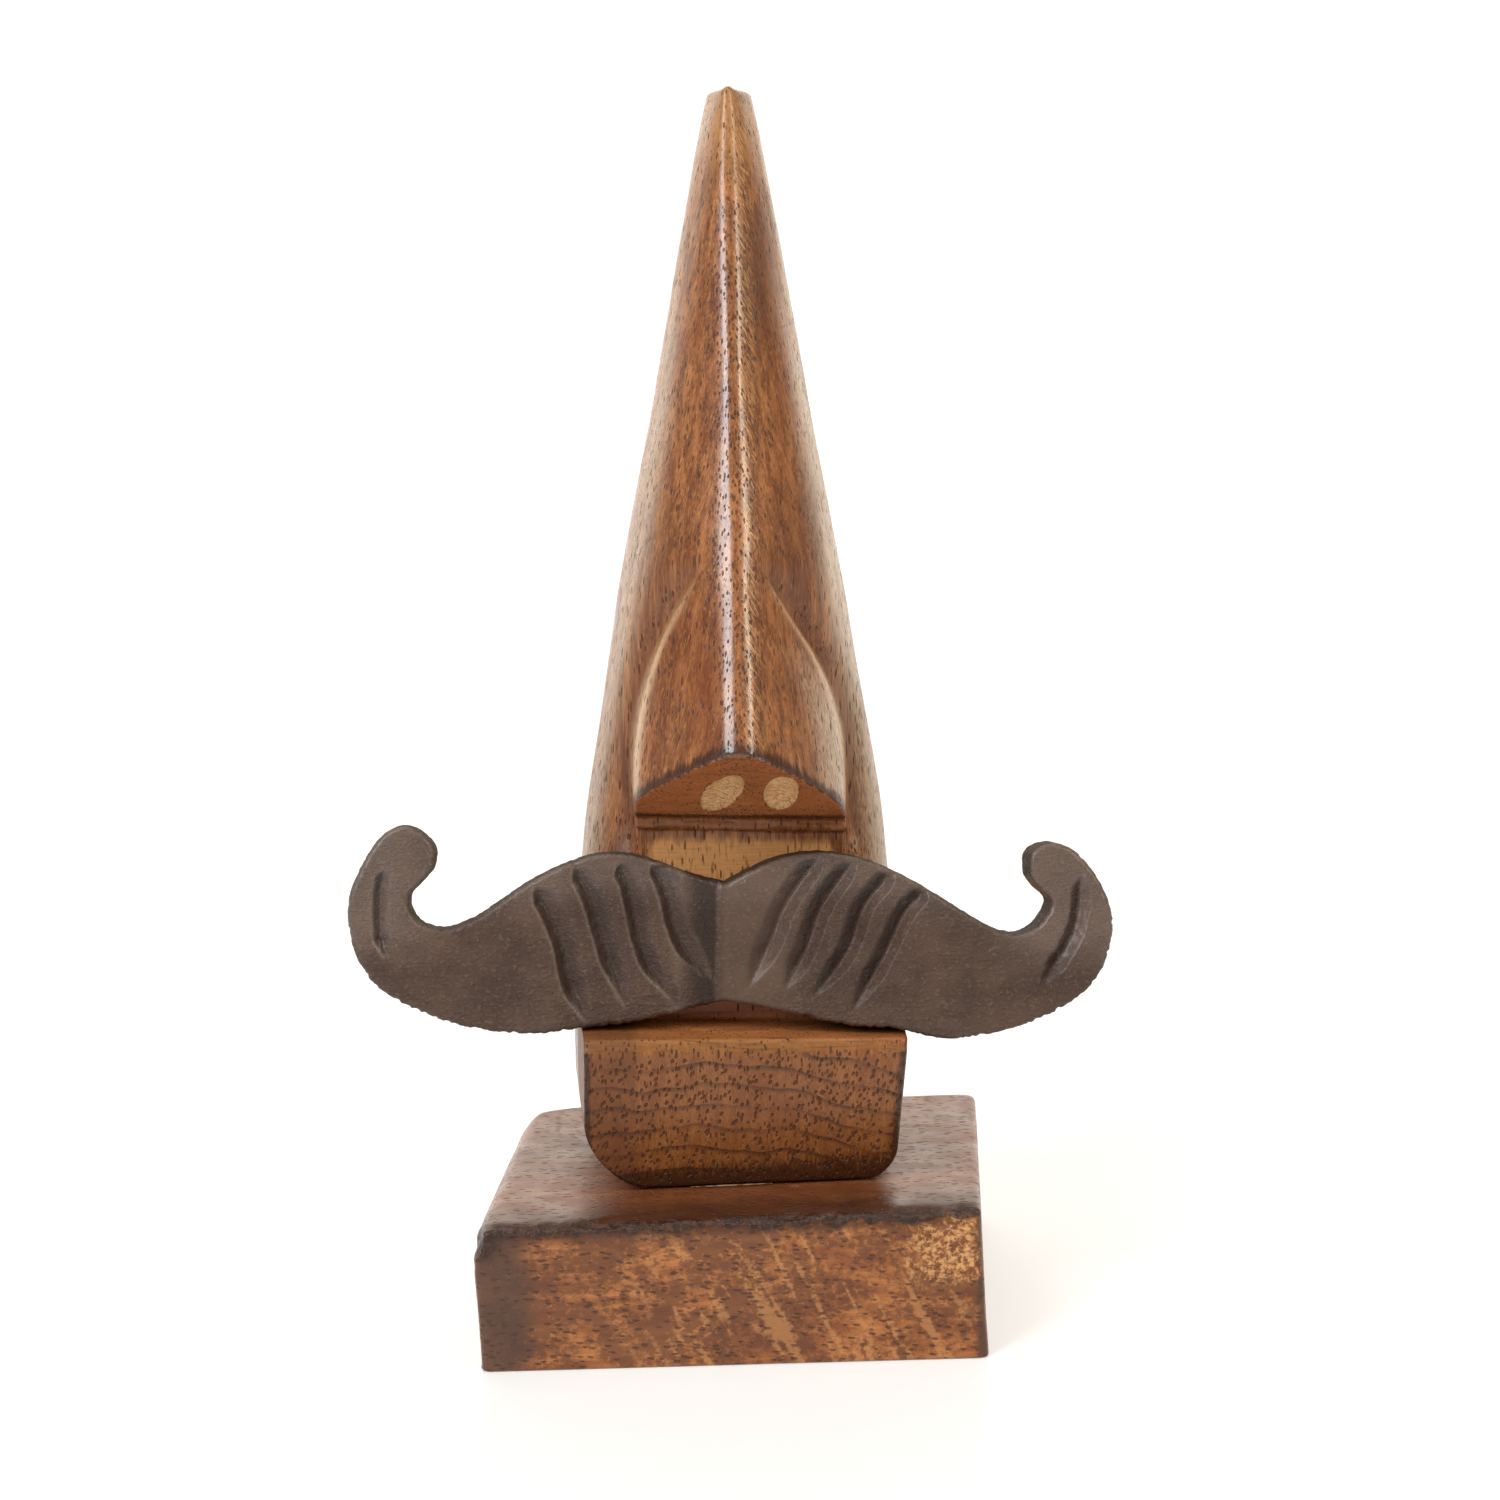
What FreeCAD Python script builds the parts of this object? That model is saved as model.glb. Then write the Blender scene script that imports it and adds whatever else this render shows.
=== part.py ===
"""Wooden nose-shaped stand for one pair of spectacles, with a moustache board.

Frame, in millimetres: X to the right, Y to the back, Z up. X = 0 is the middle plane of the
nose, Y = 0 the middle of the base's depth, Z = 0 the underside of the base.
"""
import FreeCAD, Part
import math
import os
import Sketcher
from FreeCAD import Placement, Rotation, Vector

SIZES = {
    # base: a block sawn a little out of square
    "base_width": 65.0,
    "base_depth": 50.5,
    "base_height": 20.0,
    "base_shift": 2.0,
    "base_tuck": 0.9,
    "foot_skew": 0.4,
    "front_skew": 3.6,
    "side_skew": 8.0,
    "base_corner": 6.0,
    "base_bevel": 1.2,
    # glue films
    "glue_gap": 0.2,
    # nose block: overall
    "block_back": 15.0,
    "back_corner": 3.0,
    "ridge_shift": -0.4,
    # chin and ledge
    "ledge_height": 41.45,
    "ledge_tilt": 1.6,
    "chin_front": 18.0,
    "chin_foot": 12.8,
    "chin_left": 20.6,
    "chin_right": 21.7,
    "chin_spread": 1.3,
    "chin_chamfer": 1.7,
    "chin_skew": 4.0,
    "jaw_inset": 7.5,
    "jaw_rise": 12.5,
    "jaw_radius": 12.0,
    # lip recess
    "lip_foot": 8.0,
    "lip_lean": 9.0,
    "bead_bottom": 66.9,
    "bead_top": 68.5,
    "bead_reach": 1.5,
    # nose
    "tip_reach": 22.0,
    "tip_height": 79.6,
    "nostril_rear": 6.3,
    "nostril_rear_height": 68.9,
    "crest_half": 0.7,
    "ridge_top": 5.0,
    "ridge_top_height": 160.0,
    # nostril pits
    "pit_half_width": 2.5,
    "pit_half_length": 5.0,
    "pit_shift": 0.9,
    "pit_spacing": 8.2,
    "pit_setback": 6.1,
    "pit_depth": 1.0,
    # moustache board
    "board_thickness": 6.5,
    "board_half_span": 50.0,
    "board_shift": -2.1,
    "board_lift": 0.1,
    # dowels and screws
    "dowel_radius": 2.0,
    "dowel_in_board": 4.0,
    "dowel_in_block": 6.0,
    "dowel_spacing": 16.0,
    "dowel_height": 10.0,
    "screw_length": 38.0,
    "screw_radius": 1.9,
    "screw_head_radius": 3.9,
    "screw_head_height": 2.4,
    "screw_sink": 0.6,
    "screw_point": 4.0,
    "screw_spacing": 13.0,
    "screw_centre": 2.0,
    "driver_slot": 1.0,
}

# Sections of the carved block: height, half width, shoulder Y, front Y, bulge radius of each face.
BLOCK_SECTIONS = (
    (40.0, 22.3, -3.0, -13.5, 30.0),
    (66.0, 20.3, 3.0, -9.5, 26.0),
    (101.0, 14.4, -0.5, None, 36.0),
    (149.0, 5.6, 6.0, None, 16.0),
    (160.0, 3.2, 8.0, None, 8.0),
    (163.2, 2.3, 9.5, 7.0, 8.0),
    (164.2, 1.3, 10.5, 8.5, 8.0),
)

# Sections of the nose's bulb: height, X of the left and right wing edges, wing edge Y, bulge radius.
BULB_SECTIONS = (
    (103.5, -4.3, 2.6, -11.0, 30.0),
    (96.0, -8.2, 7.0, -9.0, 30.0),
    (87.0, -12.0, 12.4, -8.0, 30.0),
    (78.0, -13.5, 14.8, -7.8, 30.0),
    (67.0, -13.2, 15.0, -7.8, 30.0),
)

# Moustache outline, each half from the top notch round its curl to the bottom notch.
# X from the centre crease in half spans, Z above the ledge in half spans.
RIGHT_HALF = (
    (0.0, 0.372), (0.153, 0.444), (0.242, 0.457), (0.33, 0.449), (0.498, 0.384),
    (0.651, 0.295), (0.731, 0.256), (0.79, 0.25), (0.835, 0.28), (0.86, 0.335),
    (0.803, 0.42), (0.808, 0.465), (0.86, 0.491), (0.98, 0.412), (1.033, 0.25),
    (0.998, 0.155), (0.86, 0.042), (0.691, -0.013), (0.56, -0.022), (0.46, 0.0),
    (0.36, 0.006), (0.163, 0.043), (0.0, 0.069),
)
LEFT_HALF = (
    (0.0, 0.069), (-0.178, 0.026), (-0.27, 0.006), (-0.36, -0.004), (-0.45, -0.018),
    (-0.56, -0.02), (-0.8, 0.036), (-0.94, 0.14), (-0.986, 0.308), (-0.957, 0.394),
    (-0.835, 0.508), (-0.757, 0.436), (-0.82, 0.33), (-0.815, 0.28), (-0.751, 0.243),
    (-0.666, 0.267), (-0.515, 0.368), (-0.435, 0.41), (-0.35, 0.44), (-0.261, 0.445),
    (-0.093, 0.395), (0.0, 0.372),
)

# Length of a cut that passes right through any piece.
THROUGH = 150.0

doc = FreeCAD.newDocument("nose_stand")
sheet = doc.addObject("Spreadsheet::Sheet", "dims")


def fill_sheet():
    """Write every driving dimension to the sheet, one named cell each."""
    for row, (alias, number) in enumerate(SIZES.items(), start=1):
        sheet.set(f"A{row}", alias)
        sheet.set(f"B{row}", str(number))
        sheet.setAlias(f"B{row}", alias)
    doc.recompute()


def size(alias):
    """Number held in a sheet cell."""
    return float(sheet.get(alias))


def value(expression):
    """Number that an expression over the sheet gives."""
    return float(sheet.evalExpression(expression))


def new_body(label):
    """Empty PartDesign body whose label names its node."""
    body = doc.addObject("PartDesign::Body", label)
    body.Label = label
    return body


def new_sketch(body, name, role, offset=None):
    """Sketch on one of the body's own origin planes."""
    plane = next(item for item in body.Origin.OriginFeatures if item.Role == role)
    sketch = body.newObject("Sketcher::SketchObject", name)
    sketch.AttachmentSupport = [(plane, "")]
    sketch.MapMode = "FlatFace"
    if offset is not None:
        sketch.AttachmentOffset = offset
    return sketch


def pin(sketch, edge, end, across, up):
    """Fix one end of an edge by two expressions, across and up from the sketch's origin."""
    for kind, expression in (("DistanceX", across), ("DistanceY", up)):
        number = sketch.addConstraint(
            Sketcher.Constraint(kind, -1, 1, edge, end, value(expression))
        )
        sketch.setExpression(f"Constraints[{number}]", expression)


def arc_edge(start, finish, radius):
    """Arc from start to finish. A positive radius bulges to the right of the way travelled."""
    chord = finish - start
    middle = start + chord * 0.5
    side = Vector(-chord.y, chord.x, 0).normalize()
    rise = math.sqrt(radius * radius - chord.Length ** 2 / 4)
    centre = middle + side * math.copysign(rise, radius)
    first, last = (start, finish) if radius > 0 else (finish, start)
    angles = [math.atan2(point.y - centre.y, point.x - centre.x) for point in (first, last)]
    circle = Part.Circle(centre, Vector(0, 0, 1), abs(radius))
    return Part.ArcOfCircle(circle, angles[0], angles[1])


def outline(sketch, corners, arcs=None):
    """Closed outline through corners given as pairs of expressions.

    arcs maps a corner's number to the radius expression of the arc that leaves it.
    """
    arcs = arcs or {}
    points = [Vector(value(across), value(up), 0) for across, up in corners]
    for number, start in enumerate(points):
        finish = points[(number + 1) % len(points)]
        if number not in arcs:
            edge = sketch.addGeometry(Part.LineSegment(start, finish), False)
            pin(sketch, edge, 1, *corners[number])
            pin(sketch, edge, 2, *corners[(number + 1) % len(points)])
            continue
        radius = value(arcs[number])
        edge = sketch.addGeometry(arc_edge(start, finish, radius), False)
        ends = (1, 2) if radius > 0 else (2, 1)
        pin(sketch, edge, ends[0], *corners[number])
        pin(sketch, edge, ends[1], *corners[(number + 1) % len(points)])
        bend = sketch.addConstraint(Sketcher.Constraint("Radius", edge, abs(radius)))
        sketch.setExpression(f"Constraints[{bend}]", f"abs({arcs[number]})")


def circle_at(sketch, across, up, radius):
    """Circle placed and sized by expressions."""
    spot = Vector(value(across), value(up), 0)
    edge = sketch.addGeometry(Part.Circle(spot, Vector(0, 0, 1), value(radius)), False)
    pin(sketch, edge, 3, across, up)
    bend = sketch.addConstraint(Sketcher.Constraint("Radius", edge, value(radius)))
    sketch.setExpression(f"Constraints[{bend}]", radius)


def pad(body, name, sketch, length, reverse=False):
    """Pad of a sketch whose length is an expression."""
    feature = body.newObject("PartDesign::Pad", name)
    feature.Profile = sketch
    feature.setExpression("Length", length)
    feature.Reversed = reverse
    doc.recompute()
    return feature


def pocket(body, name, sketch, length=None, reverse=False):
    """Pocket that must take material away; with no length it cuts through both ways."""
    before = body.Shape.Volume
    feature = body.newObject("PartDesign::Pocket", name)
    feature.Profile = sketch
    if length is None:
        feature.Length = THROUGH
        feature.Midplane = True
    else:
        feature.setExpression("Length", length)
    feature.Reversed = reverse
    doc.recompute()
    if body.Shape.Volume > before - 1.0:
        raise RuntimeError(f"{name} removed nothing")
    return feature


def turned(body, kind, name, sketch):
    """Full turn of a sketch about its own upright axis."""
    feature = body.newObject(kind, name)
    feature.Profile = sketch
    feature.ReferenceAxis = (sketch, ["V_Axis"])
    feature.Angle = 360.0
    doc.recompute()
    return feature


def screw_places():
    """Plan position of each base screw: name and Y."""
    half = size("screw_spacing") / 2
    return (("front", size("screw_centre") - half), ("rear", size("screw_centre") + half))


def screw_outline(sketch, gap):
    """Half outline of a countersunk screw standing on its head, grown by a gap."""
    sink = "-1" if gap else "dims.screw_sink"
    shank = f"(dims.screw_radius + {gap})"
    head = f"(dims.screw_head_radius + {gap})"
    corners = [
        ("0", sink),
        (head, sink),
        (head, f"dims.screw_sink + {gap + 0.2}"),
        (shank, f"dims.screw_sink + dims.screw_head_height + {gap}"),
        (shank, "dims.screw_sink + dims.screw_length - dims.screw_point"),
        ("0", f"dims.screw_sink + dims.screw_length + {gap}"),
    ]
    outline(sketch, corners)


def bore_for_screws(body):
    """Groove each screw's way out of a body."""
    for name, along in screw_places():
        spot = Placement(Vector(size("base_shift"), 0, -along), Rotation())
        sketch = new_sketch(body, f"{body.Label}_{name}_bore", "XZ_Plane", spot)
        screw_outline(sketch, 0.05)
        before = body.Shape.Volume
        turned(body, "PartDesign::Groove", f"{body.Label}_{name}_groove", sketch)
        if body.Shape.Volume > before - 1.0:
            raise RuntimeError(f"{body.Label} {name} bore removed nothing")


def base_section(body, name, height, front_skew, tuck, inset):
    """Plan of the foot at a height: front and back skewed, sides off square, one corner round."""
    sketch = new_sketch(body, name, "XY_Plane", Placement(Vector(0, 0, height), Rotation()))
    lean = "tan(dims.side_skew * 1 deg) * dims.base_depth / 2"
    skew = "tan(dims.front_skew * 1 deg) * dims.base_width / 2"
    front = f"tan({front_skew} * 1 deg) * dims.base_width / 2"
    left = f"dims.base_shift - dims.base_width / 2 + {tuck} + {inset}"
    right = f"dims.base_shift + dims.base_width / 2 + {tuck} - {inset}"
    near = f"-dims.base_depth / 2 + {inset}"
    far = f"dims.base_depth / 2 - {inset}"
    corners = [
        (f"{left} - {lean}", f"{near} - {front}"),
        (f"{right} - {lean}", f"{near} + {front}"),
        (f"{right} + {lean}", f"{far} + {skew}"),
        (f"{left} + {lean} + dims.base_corner", f"{far} - {skew}"),
        (f"{left} + {lean} * 0.75", f"{far} - {skew} - dims.base_corner"),
    ]
    outline(sketch, corners, {3: "dims.base_corner"})
    return sketch


def make_base_block():
    """Foot: a flat block sawn out of square, its top edge bevelled and one corner rounded."""
    body = new_body("base_block")
    brow = size("base_height") - size("base_bevel")
    sections = [
        base_section(body, "base_foot", 0, "dims.foot_skew", "dims.base_tuck", "0"),
        base_section(body, "base_brow", brow, "dims.front_skew", "0", "0"),
        base_section(
            body, "base_top", size("base_height"), "dims.front_skew", "0", "dims.base_bevel"
        ),
    ]
    doc.recompute()
    loft(body, "base_loft", sections)
    bore_for_screws(body)
    return body


def ridge_at(height):
    """Y of the nose's ridge at a height, on the straight line from the tip to the crown."""
    run = "(dims.ridge_top + dims.tip_reach) / (dims.ridge_top_height - dims.tip_height)"
    return f"dims.ridge_top - (dims.ridge_top_height - {height}) * {run}"


def block_section(body, number, height, half, shoulder, front, bulge):
    """Plan section of the carved block: round-cornered back, straight sides, ridged front."""
    name = f"block_section_{number}"
    sketch = new_sketch(body, name, "XY_Plane", Placement(Vector(0, 0, height), Rotation()))
    ridge = str(front) if front is not None else ridge_at(height)
    corner = f"min(dims.back_corner; {half * 0.6})"
    corners = [
        (f"{half}", f"dims.block_back - {corner}"),
        (f"{half} - {corner}", "dims.block_back"),
        (f"-{half} + {corner}", "dims.block_back"),
        (f"-{half}", f"dims.block_back - {corner}"),
        (f"-{half}", str(shoulder)),
        ("dims.ridge_shift - dims.crest_half", ridge),
        ("dims.ridge_shift + dims.crest_half", ridge),
        (f"{half}", str(shoulder)),
    ]
    outline(sketch, corners, {0: corner, 2: corner, 4: str(bulge), 6: str(bulge)})
    return sketch


def bulb_section(body, number, height, left, right, wing, bulge):
    """Plan section of the nose between its wings, rooted inside the block."""
    name = f"bulb_section_{number}"
    sketch = new_sketch(body, name, "XY_Plane", Placement(Vector(0, 0, height), Rotation()))
    corners = [
        (str(right), "dims.ridge_top"),
        (str(left), "dims.ridge_top"),
        (str(left), str(wing)),
        ("dims.ridge_shift - dims.crest_half", ridge_at(height)),
        ("dims.ridge_shift + dims.crest_half", ridge_at(height)),
        (str(right), str(wing)),
    ]
    outline(sketch, corners, {2: str(bulge), 4: str(bulge)})
    return sketch


def loft(body, name, sketches):
    """Ruled loft through plan sections."""
    feature = body.newObject("PartDesign::AdditiveLoft", name)
    feature.Profile = sketches[0]
    feature.Sections = sketches[1:]
    feature.Ruled = True
    doc.recompute()
    return feature


def cut_lip_recess(body):
    """Cut the nostril face, the bead under it and the leaning lip down to the ledge."""
    tilt = Rotation(Vector(1, 0, 0), size("ledge_tilt"))
    sketch = new_sketch(body, "lip_profile", "YZ_Plane", Placement(Vector(), tilt))
    slope = "(dims.tip_height - dims.nostril_rear_height) / (dims.tip_reach - dims.nostril_rear)"
    reach = "60"
    lip_top = "-dims.lip_foot + (dims.bead_bottom - dims.ledge_height) * tan(dims.lip_lean * 1 deg)"
    corners = [
        ("-dims.lip_foot", "dims.ledge_height"),
        (lip_top, "dims.bead_bottom"),
        (f"{lip_top} - dims.bead_reach", "dims.bead_bottom"),
        (f"{lip_top} - dims.bead_reach", "dims.bead_top"),
        (f"{lip_top} - dims.bead_reach / 2", "dims.nostril_rear_height - 0.2"),
        ("-dims.nostril_rear", "dims.nostril_rear_height"),
        (f"-{reach}", f"dims.nostril_rear_height + ({reach} - dims.nostril_rear) * {slope}"),
        (f"-{reach}", "dims.ledge_height"),
    ]
    outline(sketch, corners)
    pocket(body, "lip_recess", sketch)


def cut_chin(body):
    """Undercut the chin's face towards its foot, chamfer the ledge and round the left jaw."""
    tilt = Rotation(Vector(1, 0, 0), size("ledge_tilt"))
    turn = Rotation(Vector(0, 1, 0), size("chin_skew"))
    face = new_sketch(body, "chin_profile", "YZ_Plane", Placement(Vector(), turn * tilt))
    floor = "dims.base_height - 1"
    corners = [
        ("-dims.chin_foot", floor),
        ("-dims.chin_foot", "dims.base_height + dims.glue_gap"),
        ("-dims.chin_front", "dims.ledge_height - dims.chin_chamfer"),
        ("-dims.chin_front + dims.chin_chamfer / 2", "dims.ledge_height"),
        ("-dims.chin_front + dims.chin_chamfer / 2", "dims.ledge_height + 3"),
        ("-50", "dims.ledge_height + 3"),
        ("-50", floor),
    ]
    outline(face, corners)
    pocket(body, "chin_face", face)
    jaw = new_sketch(body, "jaw_profile", "XZ_Plane")
    side = "-dims.chin_left"
    corners = [
        (f"{side} + dims.jaw_inset", floor),
        (f"{side} + dims.jaw_inset", "dims.base_height + dims.glue_gap"),
        (side, "dims.base_height + dims.jaw_rise"),
        (f"{side} - 0.3", "dims.ledge_height - 1"),
        ("-60", "dims.ledge_height - 1"),
        ("-60", floor),
    ]
    outline(jaw, corners, {1: "-dims.jaw_radius"})
    pocket(body, "jaw_corner", jaw)


def cut_nostrils(body):
    """Sink two shallow oval pits into the nostril face."""
    rise = size("tip_height") - size("nostril_rear_height")
    run = size("tip_reach") - size("nostril_rear")
    angle = math.degrees(math.atan2(rise, run))
    place = Placement(
        Vector(0, -size("nostril_rear"), size("nostril_rear_height")),
        Rotation(Vector(1, 0, 0), -angle),
    )
    sketch = new_sketch(body, "nostril_pits", "XY_Plane", place)
    for sign in (-1, 1):
        middle = size("pit_shift") + sign * size("pit_spacing") / 2
        centre = Vector(middle, -size("pit_setback"), 0)
        oval = Part.Ellipse(
            centre + Vector(0, size("pit_half_length"), 0),
            centre + Vector(size("pit_half_width"), 0, 0),
            centre,
        )
        sketch.addGeometry(oval, False)
    pocket(body, "nostril_cut", sketch, "dims.pit_depth", reverse=True)


def bore_for_dowels(body, sketch, depth, reverse):
    """Drill the two moustache dowels' blind holes."""
    for sign in ("-", ""):
        across = f"{sign}dims.dowel_spacing / 2"
        circle_at(sketch, across, "dims.dowel_height", "dims.dowel_radius + 0.02")
    pocket(body, f"{body.Label}_dowel_holes", sketch, depth, reverse)


def make_nose_block():
    """Nose, lip, ledge and chin carved from one block."""
    body = new_body("nose_block")
    foot = Placement(Vector(0, 0, size("base_height") + size("glue_gap")), Rotation())
    plan = new_sketch(body, "chin_plan", "XY_Plane", foot)
    left = "-dims.chin_left - dims.chin_spread"
    right = "dims.chin_right + dims.chin_spread"
    corners = [
        ("dims.chin_right", "-25"),
        (right, "dims.block_back - dims.back_corner"),
        (f"{right} - dims.back_corner", "dims.block_back"),
        (f"{left} + dims.back_corner", "dims.block_back"),
        (left, "dims.block_back - dims.back_corner"),
        ("-dims.chin_left", "-25"),
    ]
    outline(plan, corners, {1: "dims.back_corner", 3: "dims.back_corner"})
    doc.recompute()
    pad(body, "chin_pad", plan, "dims.ledge_height + 1 - dims.base_height - dims.glue_gap")
    sections = [block_section(body, i, *row) for i, row in enumerate(BLOCK_SECTIONS)]
    loft(body, "block_loft", sections)
    bulb = [bulb_section(body, i, *row) for i, row in enumerate(BULB_SECTIONS)]
    loft(body, "bulb_loft", bulb)
    cut_lip_recess(body)
    cut_chin(body)
    cut_nostrils(body)
    base = Rotation(Vector(1, 0, 0), 90)
    seat = board_placement(0)
    local = Placement(Vector(), base).inverse() * seat * Placement(Vector(), base)
    holes = new_sketch(body, "lip_holes", "XZ_Plane", local)
    bore_for_dowels(body, holes, "dims.dowel_in_block + dims.glue_gap + 0.05", False)
    bore_for_screws(body)
    return body


def board_placement(gap):
    """Frame of the moustache's back: on the leaning lip and tilted ledge, a gap in front."""
    tilt = Rotation(Vector(0, 1, 0), size("ledge_tilt"))
    turn = tilt * Rotation(Vector(1, 0, 0), -size("lip_lean"))
    foot = Vector(size("board_shift"), -size("lip_foot"), 0)
    foot.z = size("ledge_height") - foot.x * math.tan(math.radians(size("ledge_tilt")))
    return Placement(foot + turn.multVec(Vector(0, -gap, size("board_lift"))), turn)


def moustache_half(points):
    """Smooth curve through one half of the moustache's outline."""
    half = size("board_half_span")
    curve = Part.BSplineCurve()
    curve.interpolate([Vector(across * half, up * half, 0) for across, up in points])
    return curve


def make_moustache():
    """Board sawn to a moustache, leaning back against the lip on the ledge."""
    body = new_body("moustache")
    sketch = new_sketch(body, "moustache_outline", "XZ_Plane")
    for points in (RIGHT_HALF, LEFT_HALF):
        sketch.addGeometry(moustache_half(points), False)
    doc.recompute()
    pad(body, "moustache_pad", sketch, "dims.board_thickness")
    holes = new_sketch(body, "board_holes", "XZ_Plane")
    bore_for_dowels(body, holes, "dims.dowel_in_board + 0.05", True)
    body.Placement = board_placement(size("glue_gap"))
    return body


def make_dowel(side, sign):
    """Round pin half in the board and half in the block."""
    body = new_body(f"moustache_dowel_{side}")
    start = Placement(Vector(0, 0, size("dowel_in_board")), Rotation())
    sketch = new_sketch(body, f"dowel_{side}_section", "XZ_Plane", start)
    across = f"{sign}dims.dowel_spacing / 2"
    circle_at(sketch, across, "dims.dowel_height", "dims.dowel_radius")
    length = "dims.dowel_in_board + dims.dowel_in_block"
    pad(body, f"dowel_{side}_pad", sketch, length, reverse=True)
    body.Placement = board_placement(size("glue_gap"))
    return body


def make_moustache_glue():
    """Film of glue between the board and the lip, with the dowels through it."""
    body = new_body("moustache_glue_film")
    sketch = new_sketch(body, "film_outline", "XZ_Plane")
    outline(sketch, [("-9", "6"), ("14", "6"), ("14", "16"), ("-9", "16")])
    doc.recompute()
    pad(body, "film_pad", sketch, "dims.glue_gap", reverse=True)
    holes = new_sketch(body, "film_holes", "XZ_Plane")
    bore_for_dowels(body, holes, "dims.glue_gap * 2", False)
    body.Placement = board_placement(size("glue_gap"))
    return body


def make_base_glue():
    """Film of glue under the chin, squeezed out a little along the front."""
    body = new_body("base_glue_film")
    top = Placement(Vector(0, 0, size("base_height")), Rotation())
    sketch = new_sketch(body, "foot_outline", "XY_Plane", top)
    outline(sketch, [("-13", "-13.9"), ("20", "-11.6"), ("20", "14"), ("-13", "14")])
    doc.recompute()
    pad(body, "foot_pad", sketch, "dims.glue_gap")
    holes = new_sketch(body, "foot_holes", "XY_Plane", top)
    for _, along in screw_places():
        circle_at(holes, "dims.base_shift", str(along), "dims.screw_radius + 0.05")
    pocket(body, "foot_cut", holes)
    return body


def make_screw(name, along):
    """Countersunk wood screw, driven up from the underside."""
    body = new_body(f"base_screw_{name}")
    sketch = new_sketch(body, f"screw_{name}_outline", "XZ_Plane")
    screw_outline(sketch, 0)
    turned(body, "PartDesign::Revolution", f"screw_{name}_turn", sketch)
    slot = new_sketch(body, f"screw_{name}_slot", "XZ_Plane")
    half = "dims.driver_slot / 2"
    depth = "dims.screw_sink + 1"
    outline(slot, [(f"-{half}", "-1"), (half, "-1"), (half, depth), (f"-{half}", depth)])
    pocket(body, f"screw_{name}_cut", slot)
    body.Placement = Placement(Vector(size("base_shift"), along, 0), Rotation())
    return body


def check_document():
    """Stop on any object that failed to compute."""
    doc.recompute()
    for item in doc.Objects:
        if "Invalid" in item.State or "Error" in item.State:
            raise RuntimeError(f"{item.Name} is {item.State}")


def write_parts(bodies):
    """Check each body's shape and write it as one STEP file."""
    os.makedirs("parts", exist_ok=True)
    for body in bodies:
        shape = body.Shape
        if shape.isNull() or not shape.isValid() or len(shape.Solids) != 1:
            raise RuntimeError(f"{body.Label} is not one valid solid")
        shape.exportStep(f"parts/{body.Label}.step")


fill_sheet()
pieces = [make_base_block(), make_nose_block(), make_moustache()]
pieces += [make_dowel("left", "-"), make_dowel("right", "")]
pieces += [make_moustache_glue(), make_base_glue()]
pieces += [make_screw(name, along) for name, along in screw_places()]
check_document()
write_parts(pieces)
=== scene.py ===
"""Wooden nose-shaped stand for one pair of spectacles, with a moustache board.

Lengths are in millimetres until a mesh is made. X to the right, Y to the back, Z up.
"""

import math

import bpy
import numpy as np
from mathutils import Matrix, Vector


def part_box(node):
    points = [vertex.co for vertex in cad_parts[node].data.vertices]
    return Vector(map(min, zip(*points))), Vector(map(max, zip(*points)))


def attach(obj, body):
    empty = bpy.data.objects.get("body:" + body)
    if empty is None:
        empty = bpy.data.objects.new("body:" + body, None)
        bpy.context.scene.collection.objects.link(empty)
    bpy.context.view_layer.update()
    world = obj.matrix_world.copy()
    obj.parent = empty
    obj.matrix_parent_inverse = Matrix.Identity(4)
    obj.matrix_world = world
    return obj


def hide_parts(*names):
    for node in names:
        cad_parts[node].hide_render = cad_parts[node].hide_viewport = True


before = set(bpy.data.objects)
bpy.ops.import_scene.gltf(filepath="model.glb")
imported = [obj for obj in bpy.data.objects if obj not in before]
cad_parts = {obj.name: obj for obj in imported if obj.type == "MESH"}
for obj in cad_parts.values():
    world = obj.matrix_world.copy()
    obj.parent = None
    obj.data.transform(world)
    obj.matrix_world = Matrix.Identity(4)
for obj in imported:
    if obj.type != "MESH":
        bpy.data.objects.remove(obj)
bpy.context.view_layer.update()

MM = 0.001
FAR = 1e9
SEED = 7

# Mesh cell over each carved piece.
NOSE_STEP = 0.42
BOARD_STEP = 0.28
BASE_STEP = 0.42

# Camera: place, downward pitch and yaw in degrees, and lens.
CAMERA_PLACE = (-18.90, -331.54, 131.44)
CAMERA_PITCH = 9.36
CAMERA_YAW = 3.66
CAMERA_LENS = 60.0
CAMERA_SENSOR = 36.0
CAMERA_NEAR = 0.01

# Studio in metres: the floor's reach, where the lights point, and each soft box.
FLOOR_REACH = 6.0
LIGHT_AIM = (0, 0, 0.09)
LIGHTS = (
    ("box_left", (-0.47, -0.40, 0.53), (0.28, 0.58), 4.8, (0.93, 0.97, 1.0)),
    ("box_right", (0.52, -0.36, 0.50), (0.13, 0.52), 2.3, (1.0, 0.89, 0.70)),
    ("box_top", (0.0, -0.05, 0.95), (0.8, 0.6), 1.8, (1.0, 0.99, 0.97)),
)
BACKDROP = 1.1
ROOM_LEFT = (1.0, 0.95, 0.87, 1.0)
ROOM_RIGHT = (1.0, 0.92, 0.80, 1.0)

# Nose block. The cuts across it are a little out of level, the lip leans back.
LEDGE_HEIGHT = 41.45
TILT_ANGLE = math.radians(1.6)
TILT = math.tan(TILT_ANGLE)
LIP_LEAN = math.radians(9.0)
LIP_SLOPE = math.tan(LIP_LEAN)
LIP_FOOT = -8.0
BLOCK_BACK = 15.0
CROWN = 164.2

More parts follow.
